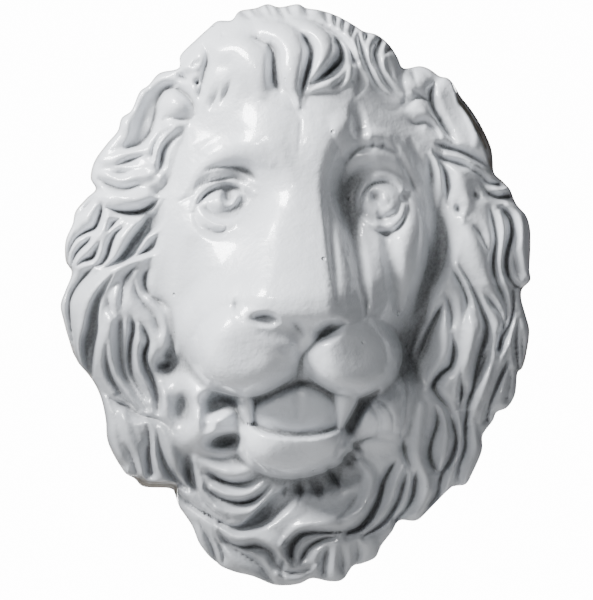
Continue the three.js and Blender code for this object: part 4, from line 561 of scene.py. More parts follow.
# Finer cuts that the solid leaves out: brow hairs, thin partings and tufts
FINE_FACE = [
    # brow hairs
    ['groove',
     [0.9, [74, 155, 2], [73, 149, 4], [71, 143, 1]],
     [0.9, [83, 155, 2], [83, 149, 4], [81, 144, 1]],
     [0.9, [92, 153, 2], [96, 147, 4], [99, 141, 1]]],
    # left eye: crease over the lid, shade under it, iris and lower lid
    ['groove',
     [0.9, [-88, 125, 2], [-78, 128, 4], [-66, 128, 6], [-55, 126, 9], [-46, 121, 8], [-38, 113, 2]],
     [1.2, [-100, 100, 2], [-93, 110, 5], [-81, 115, 6], [-65, 118, 6], [-51, 114, 3]],
     [0.9, [-96, 93, 2], [-90, 99, 7], [-82, 104, 11], [-70, 107, 13], [-60, 107, 11], [-53, 103, 3]]],
    ['swell',
     [-68, 99, 8, 10, -7, 10],
     [-60, 97, 6, 7, 2, 0]],
    ['groove',
     [0.8, [-76, 84, 1], [-66, 86, 4], [-58, 91, 5], [-54, 98, 2]],
     [0.7, [-89, 97, 1], [-86, 86, 4], [-76, 79, 4], [-62, 79, 3], [-54, 86, 1]],
     [0.8, [-91, 71, 1], [-82, 65, 4], [-73, 64, 5], [-67, 69, 1]]],
    # right eye: line under the lid, iris and pupil
    ['groove', [0.9, [62, 95, 1], [66, 105, 4], [74, 112, 4], [86, 114, 4], [96, 109, 4], [102, 100, 1]]],
    ['swell',
     [75, 100, 7, 9, -6, 30],
     [90, 87, 9, 8, 2.5, 0]],
    ['groove', [0.7, [76, 67, 1], [86, 62, 4], [96, 66, 5], [103, 76, 4], [105, 88, 1]]],
    # nose: nostril line, cleft and the line down to the lip
    ['groove',
     [0.8, [-42, -19, 1], [-31, -16, 5], [-22, -18, 5], [-15, -22, 1]],
     [0.9, [-59, 1, 1], [-58, -6, 4], [-56, -14, 1]],
     [0.8, [-8, -20, 1], [-2, -25, 5], [4, -32, 3], [9, -38, 1]],
     [0.9, [32, -24, 3], [22, -35, 5], [12, -45, 5], [5, -53, 4], [4, -64, 4], [4, -75, 2]],
     [0.8, [66, 6, 1], [67, -4, 4], [66, -16, 1]]],
    # wedges between the tufts under the chin
    ['groove',
     [0.9, [44, -146, 2], [50, -152, 7], [58, -158, 3]],
     [0.9, [30, -166, 2], [35, -175, 7], [41, -184, 2]],
     [0.9, [14, -178, 2], [18, -188, 7], [22, -197, 2]],
     [0.9, [2, -180, 2], [3, -188, 6], [3, -196, 2]],
     [0.8, [-12, -180, 2], [-12, -188, 5], [-13, -195, 2]]],
    # air pits
    ['swell',
     [-73, 258, 3, 3, -3, 0],
     [-98, 212, 3, 3, -3, 0],
     [142, 177, 3, 3, -3, 0]],
    ['groove', [1.2, [-104, 229, 2], [-100, 231, 4], [-96, 233, 2]]],
]

FINE_HAIR = [
    # left side
    ['parting',
     [0.9, [-176, 79, 2], [-182, 74, 4], [-187, 66, 1]],
     [0.7, [-200, 103, 1], [-210, 93, 4], [-220, 84, 2]],
     [0.7, [-187, 2, 1], [-184, -10, 4], [-178, -20, 1]],
     [0.8, [-178, -158, 1], [-174, -165, 4], [-170, -172, 1]],
     [0.5, [-104, -150, 3], [-104, -172, 4], [-99, -190, 4], [-88, -205, 4], [-72, -216, 2]]],
    # beard
    ['parting',
     [0.6, [-84, -232, 1], [-74, -250, 4], [-74, -262, 2]],
     [0.6, [-12, -255, 1], [-16, -264, 4], [-14, -276, 2]],
     [0.6, [44, -246, 2], [45, -262, 5], [47, -274, 2]],
     [0.6, [60, -240, 2], [60, -254, 5], [58, -266, 2]],
     [0.6, [59, -193, 1], [54, -202, 4], [46, -211, 4], [38, -217, 1]]],
    # right side
    ['parting',
     [0.7, [213, 50, 1], [215, 38, 4], [218, 26, 4], [223, 16, 1]],
     [0.6, [172, 73, 1], [180, 64, 4], [187, 49, 2]],
     [0.8, [150, 32, 2], [158, 20, 4], [165, 6, 4], [167, -6, 4], [163, -20, 1]],
     [0.8, [184, 6, 1], [192, -4, 4], [200, -14, 4], [204, -26, 4], [201, -36, 4], [200, -48, 4]],
     [0.7, [210, -60, 1], [212, -80, 4], [208, -98, 4]],
     [0.6, [222, -28, 1], [224, -45, 4], [224, -64, 3]],
     [0.8, [145, 8, 1], [149, -4, 4], [152, -18, 4], [150, -30, 1]],
     [0.9, [126, 142, 1], [130, 132, 4], [132, 120, 4], [129, 108, 1]],
     [0.7, [174, 109, 1], [176, 102, 4], [181, 99, 1]],
     [0.5, [156, 94, 1], [158, 88, 4], [162, 82, 1]]],
    # ears
    ['parting',
     [0.6, [106, 188, 2], [118, 198, 4], [130, 196, 2]],
     [0.6, [108, 176, 2], [116, 172, 5], [126, 174, 4], [134, 168, 4], [140, 160, 2]],
     [0.4, [113, 230, 2], [115, 222, 4], [117, 214, 1]],
     [0.6, [-162, 127, 1], [-173, 124, 4], [-184, 125, 1]],
     [0.4, [-99, 207, 1], [-98, 212, 5], [-97, 217, 1]],
     [0.4, [-120, 222, 1], [-112, 218, 4], [-106, 214, 1]],
     [0.35, [-94, 252, 1], [-88, 238, 5], [-92, 218, 5], [-96, 200, 4]],
     [0.3, [-64, 212, 1], [-70, 198, 4], [-76, 188, 1]],
     [0.3, [-76, 204, 1], [-82, 192, 4], [-86, 184, 1]]],
    # forelock and the tufts along the top
    ['parting',
     [0.6, [-48, 256, 1], [-38, 252, 4], [-28, 246, 3]],
     [0.5, [88, 238, 1], [90, 226, 4], [96, 214, 1]],
     [0.5, [72, 244, 1], [74, 232, 4], [80, 220, 1]],
     [0.6, [-32, 298, 3], [-30, 293, 4], [-26, 284, 3], [-23, 279, 1]],
     [0.6, [-40, 297, 3], [-38, 291, 4], [-33, 283, 3], [-30, 279, 1]],
     [0.6, [-48, 296, 3], [-46, 290, 4], [-40, 282, 3], [-37, 278, 1]],
     [0.6, [-57, 294, 3], [-55, 288, 4], [-49, 280, 3], [-45, 276, 1]],
     [0.6, [-12, 298, 4], [-10, 293, 5], [-7, 284, 4], [-5, 280, 1]],
     [0.6, [6, 296, 4], [8, 290, 5], [10, 282, 4], [12, 278, 1]]],
]


def ramp(start, end, at):
    """Smooth step from 0 at start to 1 at end, also where end is below start."""
    t = np.clip((at - start) / (end - start), 0, 1)
    return t * t * (3 - 2 * t)


def blend_over(a, b, blend):
    """The higher of a and b, with the crease between them filled over the blend."""
    share = np.clip(0.5 + 0.5 * (a - b) / blend, 0, 1)
    return b + (a - b) * share + blend * share * (1 - share)


def through(rows, at, column):
    """Cubic curve through the table rows, its slope at a row taken from the rows beside it."""
    table = np.array([[row[0], row[column]] for row in rows], float)
    x, y = table[:, 0], table[:, 1]
    slope = np.empty(len(x))
    slope[1:-1] = (y[2:] - y[:-2]) / (x[2:] - x[:-2])
    slope[0] = (y[1] - y[0]) / (x[1] - x[0])
    slope[-1] = (y[-1] - y[-2]) / (x[-1] - x[-2])
    at = np.clip(at, x[0], x[-1])
    i = np.clip(np.searchsorted(x, at) - 1, 0, len(x) - 2)
    span = x[i + 1] - x[i]
    t = (at - x[i]) / span
    rest = 1 - t
    return (y[i] * (1 + 2 * t) * rest * rest + slope[i] * span * t * rest * rest
            + y[i + 1] * t * t * (3 - 2 * t) - slope[i + 1] * span * t * t * rest)


def catmull(points, steps, closed=False):
    """Catmull-Rom curve through the points, with that many steps to each span."""
    p = np.array(points, float)
    if closed:
        padded = np.vstack([p[-1:], p, p[:2]])
    else:
        padded = np.vstack([2 * p[0] - p[1], p, 2 * p[-1] - p[-2]])
    a, b, c, d = (v[:, None, :] for v in (padded[:-3], padded[1:-2], padded[2:-1], padded[3:]))
    t = (np.arange(steps) / steps)[None, :, None]
    curve = 0.5 * (2 * b + (c - a) * t + (2 * a - 5 * b + 4 * c - d) * t**2
                   + (3 * b - a - 3 * c + d) * t**3)
    curve = curve.reshape(-1, p.shape[1])
    return curve if closed else np.vstack([curve, p[-1:]])


def rim_radius(bearing):
    """Distance from the middle to the outline at each bearing, along the curve through OUTLINE."""
    rim = catmull(OUTLINE, OUTLINE_STEPS, closed=True)
    angle = np.arctan2(rim[:, 1], rim[:, 0])
    order = np.argsort(angle)
    return np.interp(np.arctan2(np.sin(bearing), np.cos(bearing)), angle[order],
                     np.hypot(rim[:, 0], rim[:, 1])[order], period=2 * math.pi)


def laid_on_outline(steps):
    """Places of a square grid stretched over the outline. The share of the way out is the larger
    of the two grid distances, and the bearing an eighth of a turn times their quotient."""
    side = np.linspace(-1, 1, steps + 1)
    a, b = (v.ravel() for v in np.meshgrid(side, side))
    reach = np.maximum(abs(a), abs(b))
    eighth = math.pi / 4
    with np.errstate(divide="ignore", invalid="ignore"):
        bearing = np.where(abs(a) >= abs(b), eighth * b / a + np.where(a < 0, math.pi, 0),
                           2 * eighth - eighth * a / b + np.where(b < 0, math.pi, 0))
    bearing = np.where(reach == 0, 0, bearing)
    out = rim_radius(bearing) * reach
    return np.cos(bearing) * out, np.sin(bearing) * out


class Relief:
    """Depths over the wall at the places x, z in carving units."""

    def __init__(self, x, z):
        self.x, self.z = x, z
        self.radius = rim_radius(np.arctan2(z, x))
        self.inward = np.clip(1 - np.hypot(x, z) / self.radius, 0, 1)
        self.depth = np.zeros_like(x)
        self.valley = np.zeros_like(x)

    def oval(self, x, z, half_width, half_height, turn, reach):
        """Points near a turned oval, with their distance from its middle as a share of its size."""
        far = max(half_width, half_height) * reach
        near = np.nonzero((abs(self.x - x) < far) & (abs(self.z - z) < far))[0]
        cos, sin = math.cos(math.radians(turn)), math.sin(math.radians(turn))
        dx, dz = self.x[near] - x, self.z[near] - z
        return near, np.hypot((dx * cos + dz * sin) / half_width, (dz * cos - dx * sin) / half_height)

    def mound(self, x, z, half_width, half_height, foot, top, turn, blend, fullness=MOUND_FULLNESS):
        """Dome of 1 minus the distance to a power, falling straight on outside, blended over."""
        near, q = self.oval(x, z, half_width, half_height, turn, MOUND_REACH)
        dome = np.where(q < 1, 1 - np.minimum(q, 1)**fullness, fullness * (1 - q))
        self.depth[near] = blend_over(self.depth[near], foot + (top - foot) * dome, blend)

    def pad(self, *sizes):
        """A mound with a broader crown and steeper sides."""
        self.mound(*sizes, PAD_FULLNESS)

    def swell(self, x, z, half_width, half_height, rise, turn):
        """Adds a soft bump, the square of 1 minus the squared distance."""
        near, q = self.oval(x, z, half_width, half_height, turn, 1)
        q = np.clip(1 - q * q, 0, 1)
        self.depth[near] += rise * q * q

    def along(self, path):
        """Points near a path, their distance in half widths, the width there and the share along."""
        line = catmull(path, PATH_STEPS)
        widest = max(max(row[2] for row in path) * GROOVE_SHOULDER / 2, LOCK_ROUNDING_REACH)
        low, high = line[:, :2].min(0) - widest, line[:, :2].max(0) + widest
        near = np.nonzero((self.x > low[0]) & (self.x < high[0])
                          & (self.z > low[1]) & (self.z < high[1]))[0]
        x, z = self.x[near], self.z[near]
        away, wide, share = np.full(len(near), np.inf), np.ones(len(near)), np.zeros(len(near))
        for step, (a, b) in enumerate(zip(line[:-1], line[1:])):
            run = b[:2] - a[:2]
            t = np.clip(((x - a[0]) * run[0] + (z - a[1]) * run[1]) / max(run @ run, LEAST_RUN), 0, 1)
            width = np.maximum(a[2] + (b[2] - a[2]) * t, 1)
            d = np.hypot(x - a[0] - t * run[0], z - a[1] - t * run[1])
            closer = d < away
            away[closer], wide[closer] = d[closer], width[closer]
            share[closer] = (step + t[closer]) / (len(line) - 1)
        return near, away / (wide / 2), wide, share

    def parting(self, strength, *path):
        """A groove that also rounds the hair beside it, the squared nearness to the path."""
        near, away, wide, _ = self.along(path)
        close = np.clip(1 - away * wide / 2 / LOCK_ROUNDING_REACH, 0, 1)
        share = close**2 * np.minimum(wide / FULL_PARTING_WIDTH, 1)
        self.valley[near] = np.maximum(self.valley[near], share)
        self.groove(strength, *path)

    def groove(self, strength, *path):
        """Cuts a sharp floor, 1 minus the distance to a power, with a wider rounded shoulder."""
        near, away, wide, _ = self.along(path)
        core = np.clip(1 - away, 0, 1)**GROOVE_SHARPNESS
        shoulder = np.clip(1 - (away / GROOVE_SHOULDER)**2, 0, 1)**2
        cut = shoulder + (core - shoulder) * GROOVE_CORE_SHARE
        self.depth[near] -= GROOVE_STRENGTH * strength * wide * cut

    def hollow(self, strength, *path):
        """Cuts a pocket with a flat floor and a smooth step for its wall."""
        near, away, wide, _ = self.along(path)
        q = np.clip((POCKET_REACH - away) / POCKET_WALL, 0, 1)
        self.depth[near] -= GROOVE_STRENGTH * strength * wide * q * q * (3 - 2 * q)

    def roll(self, strength, *path):
        """Adds a soft rounded strand, 1 minus the squared distance, to a power."""
        near, away, wide, _ = self.along(path)
        section = np.clip(1 - (away / ROLL_REACH)**2, 0, 1)**ROLL_SOFTNESS
        self.depth[near] += LOCK_STRENGTH * strength * wide * section

    def lock(self, strength, lift_start, lift_end, *path):
        """Lays a lock over the hair: a round section above the lifted hair, blended over."""
        near, away, wide, share = self.along(path)
        low = np.clip(1 - away * away, 0, 1)
        section = np.where(away < 1, low + (np.sqrt(low) - low) * LOCK_FULLNESS,
                           LOCK_SIDE_FALL * (1 - away))
        top = self.hair[near] + lift_start + (lift_end - lift_start) * share + strength * wide * section
        self.depth[near] = blend_over(self.depth[near], top, LOCK_BLEND)

    def carve(self, groups):
        """Cuts or adds each row in turn, by the method that its group names."""
        for kind, *rows in groups:
            for row in rows:
                getattr(self, kind)(*row)

    def lay_hair(self):
        """The mane rises from the rim by MANE_PROFILE, and the crown and skull stand over it."""
        self.depth[:] = MANE_FOOT_DEPTH + MANE_RISE * through(MANE_PROFILE, self.inward, 1)
        self.carve(BODY)
        self.hair = self.depth.copy()

    def round_locks(self):
        """Sinks the hair along every parting, each place once."""
        self.depth -= LOCK_ROUNDING * self.valley

    def lay_bridge(self):
        """Crest by height, falling to each side as distance squared over distance plus rounding."""
        aside = self.x - BRIDGE_CENTRE
        left = np.clip(-aside - through(BRIDGE, self.z, 2), 0, None)
        right = np.clip(aside - through(BRIDGE, self.z, 3), 0, None)
        fall = (BRIDGE_LEFT_FALL * left**2 / (left + BRIDGE_LEFT_ROUNDING)
                + BRIDGE_RIGHT_FALL * right**2 / (right + BRIDGE_RIGHT_ROUNDING)
                + BRIDGE_CROWN * aside**2)
        crest = NOSE_DEPTH * through(BRIDGE, self.z, 1)
        self.depth = blend_over(self.depth, crest - fall, BRIDGE_BLEND)

    def open_mouth(self):
        """Lowers what lies between the two lip curves to the floor of the mouth."""
        top, bottom = through(LIPS, self.x, 1), through(LIPS, self.x, 2)
        inside = (self.x >= LIPS[0][0]) & (self.x <= LIPS[-1][0])
        opened = (ramp(-LIP_SOFTNESS, LIP_SOFTNESS, top - self.z)
                  * ramp(-LIP_SOFTNESS, LIP_SOFTNESS, self.z - bottom) * inside)
        self.depth += (np.minimum(self.depth, MOUTH_FLOOR_DEPTH) - self.depth) * opened

    def lay_rim(self):
        """Keeps the depth under a slope that rises inward from the rim, lower where the side shows.
        The flared sides are noted as cut back by how far the hair stood over that slope."""
        bearing = np.degrees(np.arctan2(self.z, self.x))
        low, slope, flare = RIM_DEPTH, RIM_SLOPE, 0
        for starts, full, lasts, ends, side_slope in SHOWN_SIDES:
            shown = ramp(starts, full, bearing) * ramp(ends, lasts, bearing)
            flare = flare + shown * (side_slope == FLARE_SLOPE)
            low = low + (SHOWN_RIM_DEPTH - low) * shown
            slope = slope + (side_slope - slope) * shown
        limit = low + slope * self.inward * self.radius
        self.cut_back = flare * np.clip((self.depth - limit + CUT_BACK_START) / CUT_BACK_SPAN, 0, 1)
        self.depth = np.maximum(-blend_over(-self.depth, -limit, RIM_ROUNDING), LEAST_DEPTH)


def carved(x, z):
    """The whole relief, mass by mass and cut by cut, at the places x, z."""
    work = Relief(x, z)
    work.lay_hair()
    work.carve(LOCKS + PARTINGS + CROWN + FINE_HAIR)
    work.round_locks()
    work.carve(FACE)
    work.lay_bridge()
    work.carve(EYES + MUZZLE)
    work.open_mouth()
    work.carve(MOUTH + FINE_FACE)
    work.lay_rim()
    return work


def blurred(grid, radius, rounds=2):
    """Mean of each grid value and its neighbours, along rows and columns, a few rounds."""
    span = 2 * radius + 1
    for _ in range(rounds):
        for axis in (0, 1):
            pad = [(radius + 1, radius) if n == axis else (0, 0) for n in (0, 1)]
            total = np.cumsum(np.pad(grid, pad, mode="edge"), axis=axis)
            grid = (np.take(total, range(span, total.shape[axis]), axis)
                    - np.take(total, range(total.shape[axis] - span), axis)) / span
    return grid


# Steps of the front grid along each way, and of the side from the rim to the wall
GRID = 296
SIDE_ROWS = 5
relief = carved(*laid_on_outline(GRID))

# The same relief on an even grid, in carving units, to read the cavities off without the mesh
EVEN_PITCH = 1.5
EVEN_REACH = 300
line = np.arange(-EVEN_REACH, EVEN_REACH + EVEN_PITCH, EVEN_PITCH)
across, upward = np.meshgrid(line, line)
even = carved(across.ravel(), upward.ravel()).depth.reshape(across.shape)

# Cavities that steer the painted shade in the hollows: attribute, radius of the surroundings in even steps,
# depth below them that is full
CAVITIES = [["near_cavity", 2, 4], ["far_cavity", 8, 14], ["wide_cavity", 34, 36]]
# Steps before the end of the even grid that keep a place inside its last cell
INSIDE_LAST = 1.001


def read_even(grid, x, z):
    """Values of the even grid at the places x, z, straight between its four nearest places."""
    u = np.clip((x + EVEN_REACH) / EVEN_PITCH, 0, grid.shape[1] - INSIDE_LAST)
    v = np.clip((z + EVEN_REACH) / EVEN_PITCH, 0, grid.shape[0] - INSIDE_LAST)
    i, j = u.astype(int), v.astype(int)
    u, v = u - i, v - j
    return ((grid[j, i] * (1 - u) + grid[j, i + 1] * u) * (1 - v)
            + (grid[j + 1, i] * (1 - u) + grid[j + 1, i + 1] * u) * v)


def cavity(radius, deepest):
    """How far each point of the front lies under its surroundings, as a share of deepest."""
    share = np.clip((blurred(even, radius) - even) / deepest, -1, 1)
    return read_even(share, relief.x, relief.z)


# The front grid in metres, held just inside the CAD box, then the side of the casting down to
# the wall, then the flat back
MM = 0.001
CAD_INSET = 2e-5
front = np.column_stack([relief.x * MM, -relief.depth * MM, relief.z * MM])
front[:, 0] *= PLAQUE_WIDTH / UNITS_WIDE
front[:, 2] *= PLAQUE_HEIGHT / UNITS_TALL
front = np.clip(front, np.array(cad_low) + CAD_INSET, np.array(cad_high) - CAD_INSET)
k = np.arange((GRID + 1)**2).reshape(GRID + 1, GRID + 1)
quads = np.column_stack([k[:-1, :-1].ravel(), k[:-1, 1:].ravel(), k[1:, 1:].ravel(), k[1:, :-1].ravel()])
rim = np.concatenate([k[0, :-1], k[:-1, -1], k[-1, :0:-1], k[:0:-1, 0]])
points, faces = [front], [quads]
ring, count = rim, len(front)
for row in range(1, SIDE_ROWS + 1):
    lower = front[rim].copy()
    lower[:, 1] *= 1 - row / SIDE_ROWS
    points.append(lower)
    below = count + np.arange(len(rim))
    faces.append(np.column_stack([ring, below, np.roll(below, -1), np.roll(ring, -1)]))
    ring, count = below, count + len(rim)
points.append(np.zeros((1, 3)))
fan = np.column_stack([np.roll(ring, -1), ring, np.full(len(ring), count)])
points = np.vstack(points)
faces = np.vstack(faces)

mesh = bpy.data.meshes.new("lion_head")
corners = np.concatenate([faces.ravel(), fan.ravel()]).astype(np.int32)
starts = np.concatenate([np.arange(len(faces)) * 4, len(faces) * 4 + np.arange(len(fan)) * 3])
mesh.vertices.add(len(points))
mesh.loops.add(len(corners))
mesh.polygons.add(len(starts))
mesh.vertices.foreach_set("co", points.astype(np.float32).ravel())
mesh.loops.foreach_set("vertex_index", corners)
mesh.polygons.foreach_set("loop_start", starts.astype(np.int32))
mesh.polygons.foreach_set("use_smooth", np.arange(len(starts)) < len(faces))
mesh.update()
mesh.validate()


def point_values(name, front_values, elsewhere):
    """Stores one number for each point: the given ones on the front, a constant elsewhere."""
    values = np.full(len(points), elsewhere, np.float32)
    values[:len(front)] = front_values.ravel()
    mesh.attributes.new(name, "FLOAT", "POINT").data.foreach_set("value", values)


# Bare concrete: depth over the wall where the paint starts, how much more covers it fully, and
# the width that stays bare along the rim
BARE_DEPTH = 10
BARE_FADE = 22
BARE_EDGE = 5


def bare_concrete():
    """How bare the front is, 0 to 1: full near the wall and at the rim, less by the share of the
    depth over the wall times the share of the way in, and never less than what is cut back."""
    covered = (np.clip((relief.depth - BARE_DEPTH) / BARE_FADE, 0, 1)
               * np.clip(relief.inward * relief.radius / BARE_EDGE, 0, 1))
    return np.maximum(1 - covered, relief.cut_back)


# Painted shade over the lower mane: middle and half sizes of the oval that stays white, the
# shares of it where the shade starts and over which it rises, then the fade upward and the loss towards the
# right
OVAL_ACROSS, OVAL_UP = 3, 9
OVAL_HALF_WIDTH, OVAL_HALF_HEIGHT = 128, 190
MANE_SHADE_START, MANE_SHADE_RISE = 0.95, 0.3
MANE_SHADE_TOP, MANE_SHADE_FADE = 70, 140
MANE_SHADE_RIGHT_START, MANE_SHADE_RIGHT_SPAN, MANE_SHADE_RIGHT_LOSS = -20, 120, 0.65


def painted_mane_shade(x, z):
    """How dark the painted shade over the lower mane lies, 0 to 1: none inside an upright oval
    round the face, rising outside it, fading out towards the crown and weaker on the right of the mane."""
    out = np.hypot((x - OVAL_ACROSS) / OVAL_HALF_WIDTH, (z - OVAL_UP) / OVAL_HALF_HEIGHT)
    outside = np.clip((out - MANE_SHADE_START) / MANE_SHADE_RISE, 0, 1)
    below = np.clip((MANE_SHADE_TOP - z) / MANE_SHADE_FADE, 0, 1)
    right = np.clip((x - MANE_SHADE_RIGHT_START) / MANE_SHADE_RIGHT_SPAN, 0, 1)
    return outside * below * (1 - MANE_SHADE_RIGHT_LOSS * right)


for name, radius, deepest in CAVITIES:
    point_values(name, cavity(radius, deepest), 0)
point_values("bare_side", bare_concrete(), 1)
# Painted shade over the lower mane, stored for each point
point_values("painted_mane_shade", painted_mane_shade(relief.x, relief.z), 0)

lion = bpy.data.objects.new("lion_head", mesh)
bpy.context.collection.objects.link(lion)
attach(lion, "root")
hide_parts("lion_head_relief")

# Glossy white enamel over sandy brown concrete, with painted shade in grey in the hollows and over the lower
# mane
WHITE_ENAMEL = (0.79, 0.82, 0.865)
# Grey of the painted shade over the lower mane
MANE_SHADE_GREY = (0.34, 0.354, 0.375)
# Greys of the painted shade in the hollows
DARK_SHADE_GREY, LIGHT_SHADE_GREY = (0.235, 0.242, 0.253), (0.325, 0.337, 0.353)
DARK_CONCRETE, LIGHT_CONCRETE = (0.17, 0.155, 0.135), (0.44, 0.40, 0.35)
# Unevenness under the gloss: share of the brush marks, of the grains and of the air pits
BRUSH_SHARE = 0.9
GRAIN_SHARE = 0.32
PIT_SHARE = 1.4
BUMP_STRENGTH = 0.75
BUMP_DEPTH = 0.0022
# Sockets of the Mix node for colours
COLOUR_UNDER, COLOUR_OVER, COLOUR_OUT = 6, 7, 2

enamel = bpy.data.materials.new("white_enamelled_concrete")
enamel.use_nodes = True
nodes, links = enamel.node_tree.nodes, enamel.node_tree.links
shader = nodes["Principled BSDF"]
coords = nodes.new("ShaderNodeTexCoord")


def feed(entry, value):
    """Links a socket into the input, or sets the input to a number or a colour."""
    if isinstance(value, bpy.types.NodeSocket):
        links.new(value, entry)
    else:
        entry.default_value = (*value, 1) if isinstance(value, tuple) else value


def attribute(name):
    """The number that the mesh holds under the name, as a socket."""
    node = nodes.new("ShaderNodeAttribute")
    node.attribute_name = name
    return node.outputs["Fac"]


def noise(scale, detail=4.0, roughness=0.6):
    """Noise over Object coordinates, scale times a metre."""
    node = nodes.new("ShaderNodeTexNoise")
    feed(node.inputs["Scale"], scale)
    feed(node.inputs["Detail"], detail)
    feed(node.inputs["Roughness"], roughness)
    feed(node.inputs["Vector"], coords.outputs["Object"])
    return node.outputs["Fac"]


def mapped(socket, low_in, high_in, low_out=0.0, high_out=1.0):
    """The socket taken by a smooth step from one range to another and held inside it."""
    node = nodes.new("ShaderNodeMapRange")
    node.interpolation_type = "SMOOTHSTEP"
    feed(node.inputs["From Min"], low_in)
    feed(node.inputs["From Max"], high_in)
    feed(node.inputs["To Min"], low_out)
    feed(node.inputs["To Max"], high_out)
    feed(node.inputs["Value"], socket)
    return node.outputs["Result"]


def calculate(operation, *values):
    """One arithmetic step on sockets or numbers."""
    node = nodes.new("ShaderNodeMath")
    node.operation = operation
    for place, value in enumerate(values):
        feed(node.inputs[place], value)
    return node.outputs[0]


def mixed(share, under, over):
    """Colour that goes from under to over with the share."""
    node = nodes.new("ShaderNodeMix")
    node.data_type = "RGBA"
    feed(node.inputs[0], share)
    feed(node.inputs[COLOUR_UNDER], under)
    feed(node.inputs[COLOUR_OVER], over)
    return node.outputs[COLOUR_OUT]


clouds = noise(9.0)
grains = noise(120.0, 3.0)
# Painted shade: grey laid into the hollows by how far each point lies under its near, farther and wide
# surroundings, varied by a slow noise and a little patchy where it is high; the enamel is made matt there too
painted_shade = calculate("ADD", mapped(attribute("near_cavity"), 0.05, 0.8, 0, 0.4),
                  mapped(attribute("far_cavity"), -0.15, 0.8, 0, 0.75))
painted_shade = calculate("ADD", painted_shade, mapped(attribute("wide_cavity"), 0.0, 0.75, 0, 0.5))
painted_shade = calculate("MULTIPLY", painted_shade, mapped(clouds, 0.3, 0.7, 0.8, 1.15))
painted_shade = calculate("MINIMUM", calculate("ADD", painted_shade, mapped(clouds, 0.45, 0.75, 0, 0.06)), 1.0)
# Painted shade over the lower mane, outside the face, varied by the slow noise
mane_shade_share = calculate("MULTIPLY", attribute("painted_mane_shade"), mapped(clouds, 0.3, 0.7, 0.75, 1.0))
coated = mixed(mane_shade_share, WHITE_ENAMEL, MANE_SHADE_GREY)
# Grey of the painted shade in the hollows, mottled by a fine noise
shade_grey = mixed(mapped(noise(360.0), 0.35, 0.65), DARK_SHADE_GREY, LIGHT_SHADE_GREY)
concrete = mixed(mapped(grains, 0.3, 0.7), DARK_CONCRETE, LIGHT_CONCRETE)
bare = calculate("MULTIPLY", mapped(attribute("bare_side"), 0.25, 0.95),
                 mapped(noise(38.0), 0.35, 0.55, 0.3, 1.0))
feed(shader.inputs["Base Color"], mixed(bare, mixed(painted_shade, coated, shade_grey), concrete))
feed(shader.inputs["Roughness"], calculate("MAXIMUM", mapped(painted_shade, 0.1, 0.8, 0.36, 0.62),
                                           mapped(bare, 0.2, 0.8, 0.25, 0.9)))
feed(shader.inputs["Coat Weight"], calculate("MULTIPLY", mapped(painted_shade, 0.1, 0.7, 0.85, 0.1),
                                             mapped(bare, 0.1, 0.6, 1, 0)))
feed(shader.inputs["Coat Roughness"], 0.1)
feed(shader.inputs["Specular IOR Level"], 0.5)

# Brush and casting unevenness under the gloss, and small air pits where a slow noise is high
uneven = calculate("ADD", calculate("MULTIPLY", noise(46.0), BRUSH_SHARE),
                   calculate("MULTIPLY", grains, GRAIN_SHARE))
cells = nodes.new("ShaderNodeTexVoronoi")
feed(cells.inputs["Scale"], 46.0)
feed(cells.inputs["Vector"], coords.outputs["Object"])
pits = calculate("MULTIPLY", mapped(cells.outputs["Distance"], 0.04, 0.12, 1, 0),
                 mapped(noise(21.0, 1.0), 0.62, 0.66))
bump = nodes.new("ShaderNodeBump")
feed(bump.inputs["Strength"], BUMP_STRENGTH)
feed(bump.inputs["Distance"], BUMP_DEPTH)
feed(bump.inputs["Height"], calculate("SUBTRACT", uneven, calculate("MULTIPLY", pits, PIT_SHARE)))
feed(shader.inputs["Normal"], bump.outputs["Normal"])
mesh.materials.append(enamel)

# Studio: a plain pale floor well below the plaque, a plain white backdrop far behind it, a large
# soft light from the upper left, a weak small one nearer the front and a camera square to it.
FLOOR_HALF, FLOOR_DROP = 7, 2.4
BACKDROP_HALF, BACKDROP_AWAY = 1.3, 6
# Height that the camera sees, 600 pixels of a millimetre at the plane of the outline
SEEN_HEIGHT = 0.6
OUTLINE_PLANE = -0.06


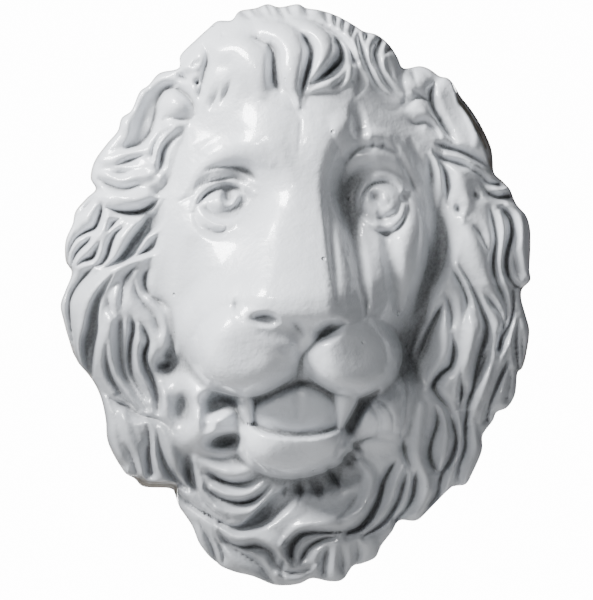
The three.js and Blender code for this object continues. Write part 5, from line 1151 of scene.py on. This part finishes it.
def sheet(name, corners, grey, glow):
    """A flat four-cornered sheet of matt grey paint, with an even white glow of its own."""
    sheet_mesh = bpy.data.meshes.new(name)
    sheet_mesh.from_pydata(corners, [], [(0, 1, 2, 3)])
    paint = bpy.data.materials.new(name)
    paint.use_nodes = True
    matt = paint.node_tree.nodes["Principled BSDF"]
    matt.inputs["Base Color"].default_value = (grey, grey, grey, 1)
    matt.inputs["Roughness"].default_value = 0.9
    matt.inputs["Emission Color"].default_value = (1, 1, 1, 1)
    matt.inputs["Emission Strength"].default_value = glow
    sheet_mesh.materials.append(paint)
    holder = bpy.data.objects.new(name, sheet_mesh)
    bpy.context.collection.objects.link(holder)


turns = [(-1, -1), (1, -1), (1, 1), (-1, 1)]
sheet("floor", [(a * FLOOR_HALF, b * FLOOR_HALF, -FLOOR_DROP) for a, b in turns], 0.7, 0.0)
sheet("backdrop", [(a * BACKDROP_HALF, BACKDROP_AWAY, b * BACKDROP_HALF) for a, b in turns], 0.8, 14.0)

world = bpy.data.worlds.new("studio")
bpy.context.scene.world = world
world.use_nodes = True
sky = world.node_tree.nodes["Background"]
sky.inputs["Color"].default_value = (0.96, 0.98, 1, 1)
sky.inputs["Strength"].default_value = 0.12


def area_light(name, place, size, power):
    """A square soft light at a place, turned to the middle of the plaque."""
    lamp = bpy.data.lights.new(name, "AREA")
    lamp.size = size
    lamp.energy = power
    holder = bpy.data.objects.new(name, lamp)
    holder.location = place
    holder.rotation_mode = "QUATERNION"
    holder.rotation_quaternion = (-Vector(place)).to_track_quat("-Z", "Y")
    bpy.context.collection.objects.link(holder)


area_light("key", (-2.1, -1.3, 1.95), 1.0, 325)
area_light("front", (-1.3, -2.6, 1.3), 0.35, 26)

camera = bpy.data.cameras.new("camera")
camera.sensor_width = 36
camera.lens = 120
viewer = bpy.data.objects.new("camera", camera)
viewer.rotation_mode = "QUATERNION"
viewer.rotation_quaternion = Vector((0, 1, 0)).to_track_quat("-Z", "Y")
viewer.location = (-MM, OUTLINE_PLANE - SEEN_HEIGHT * camera.lens / camera.sensor_width, -MM)
bpy.context.collection.objects.link(viewer)
bpy.context.scene.camera = viewer
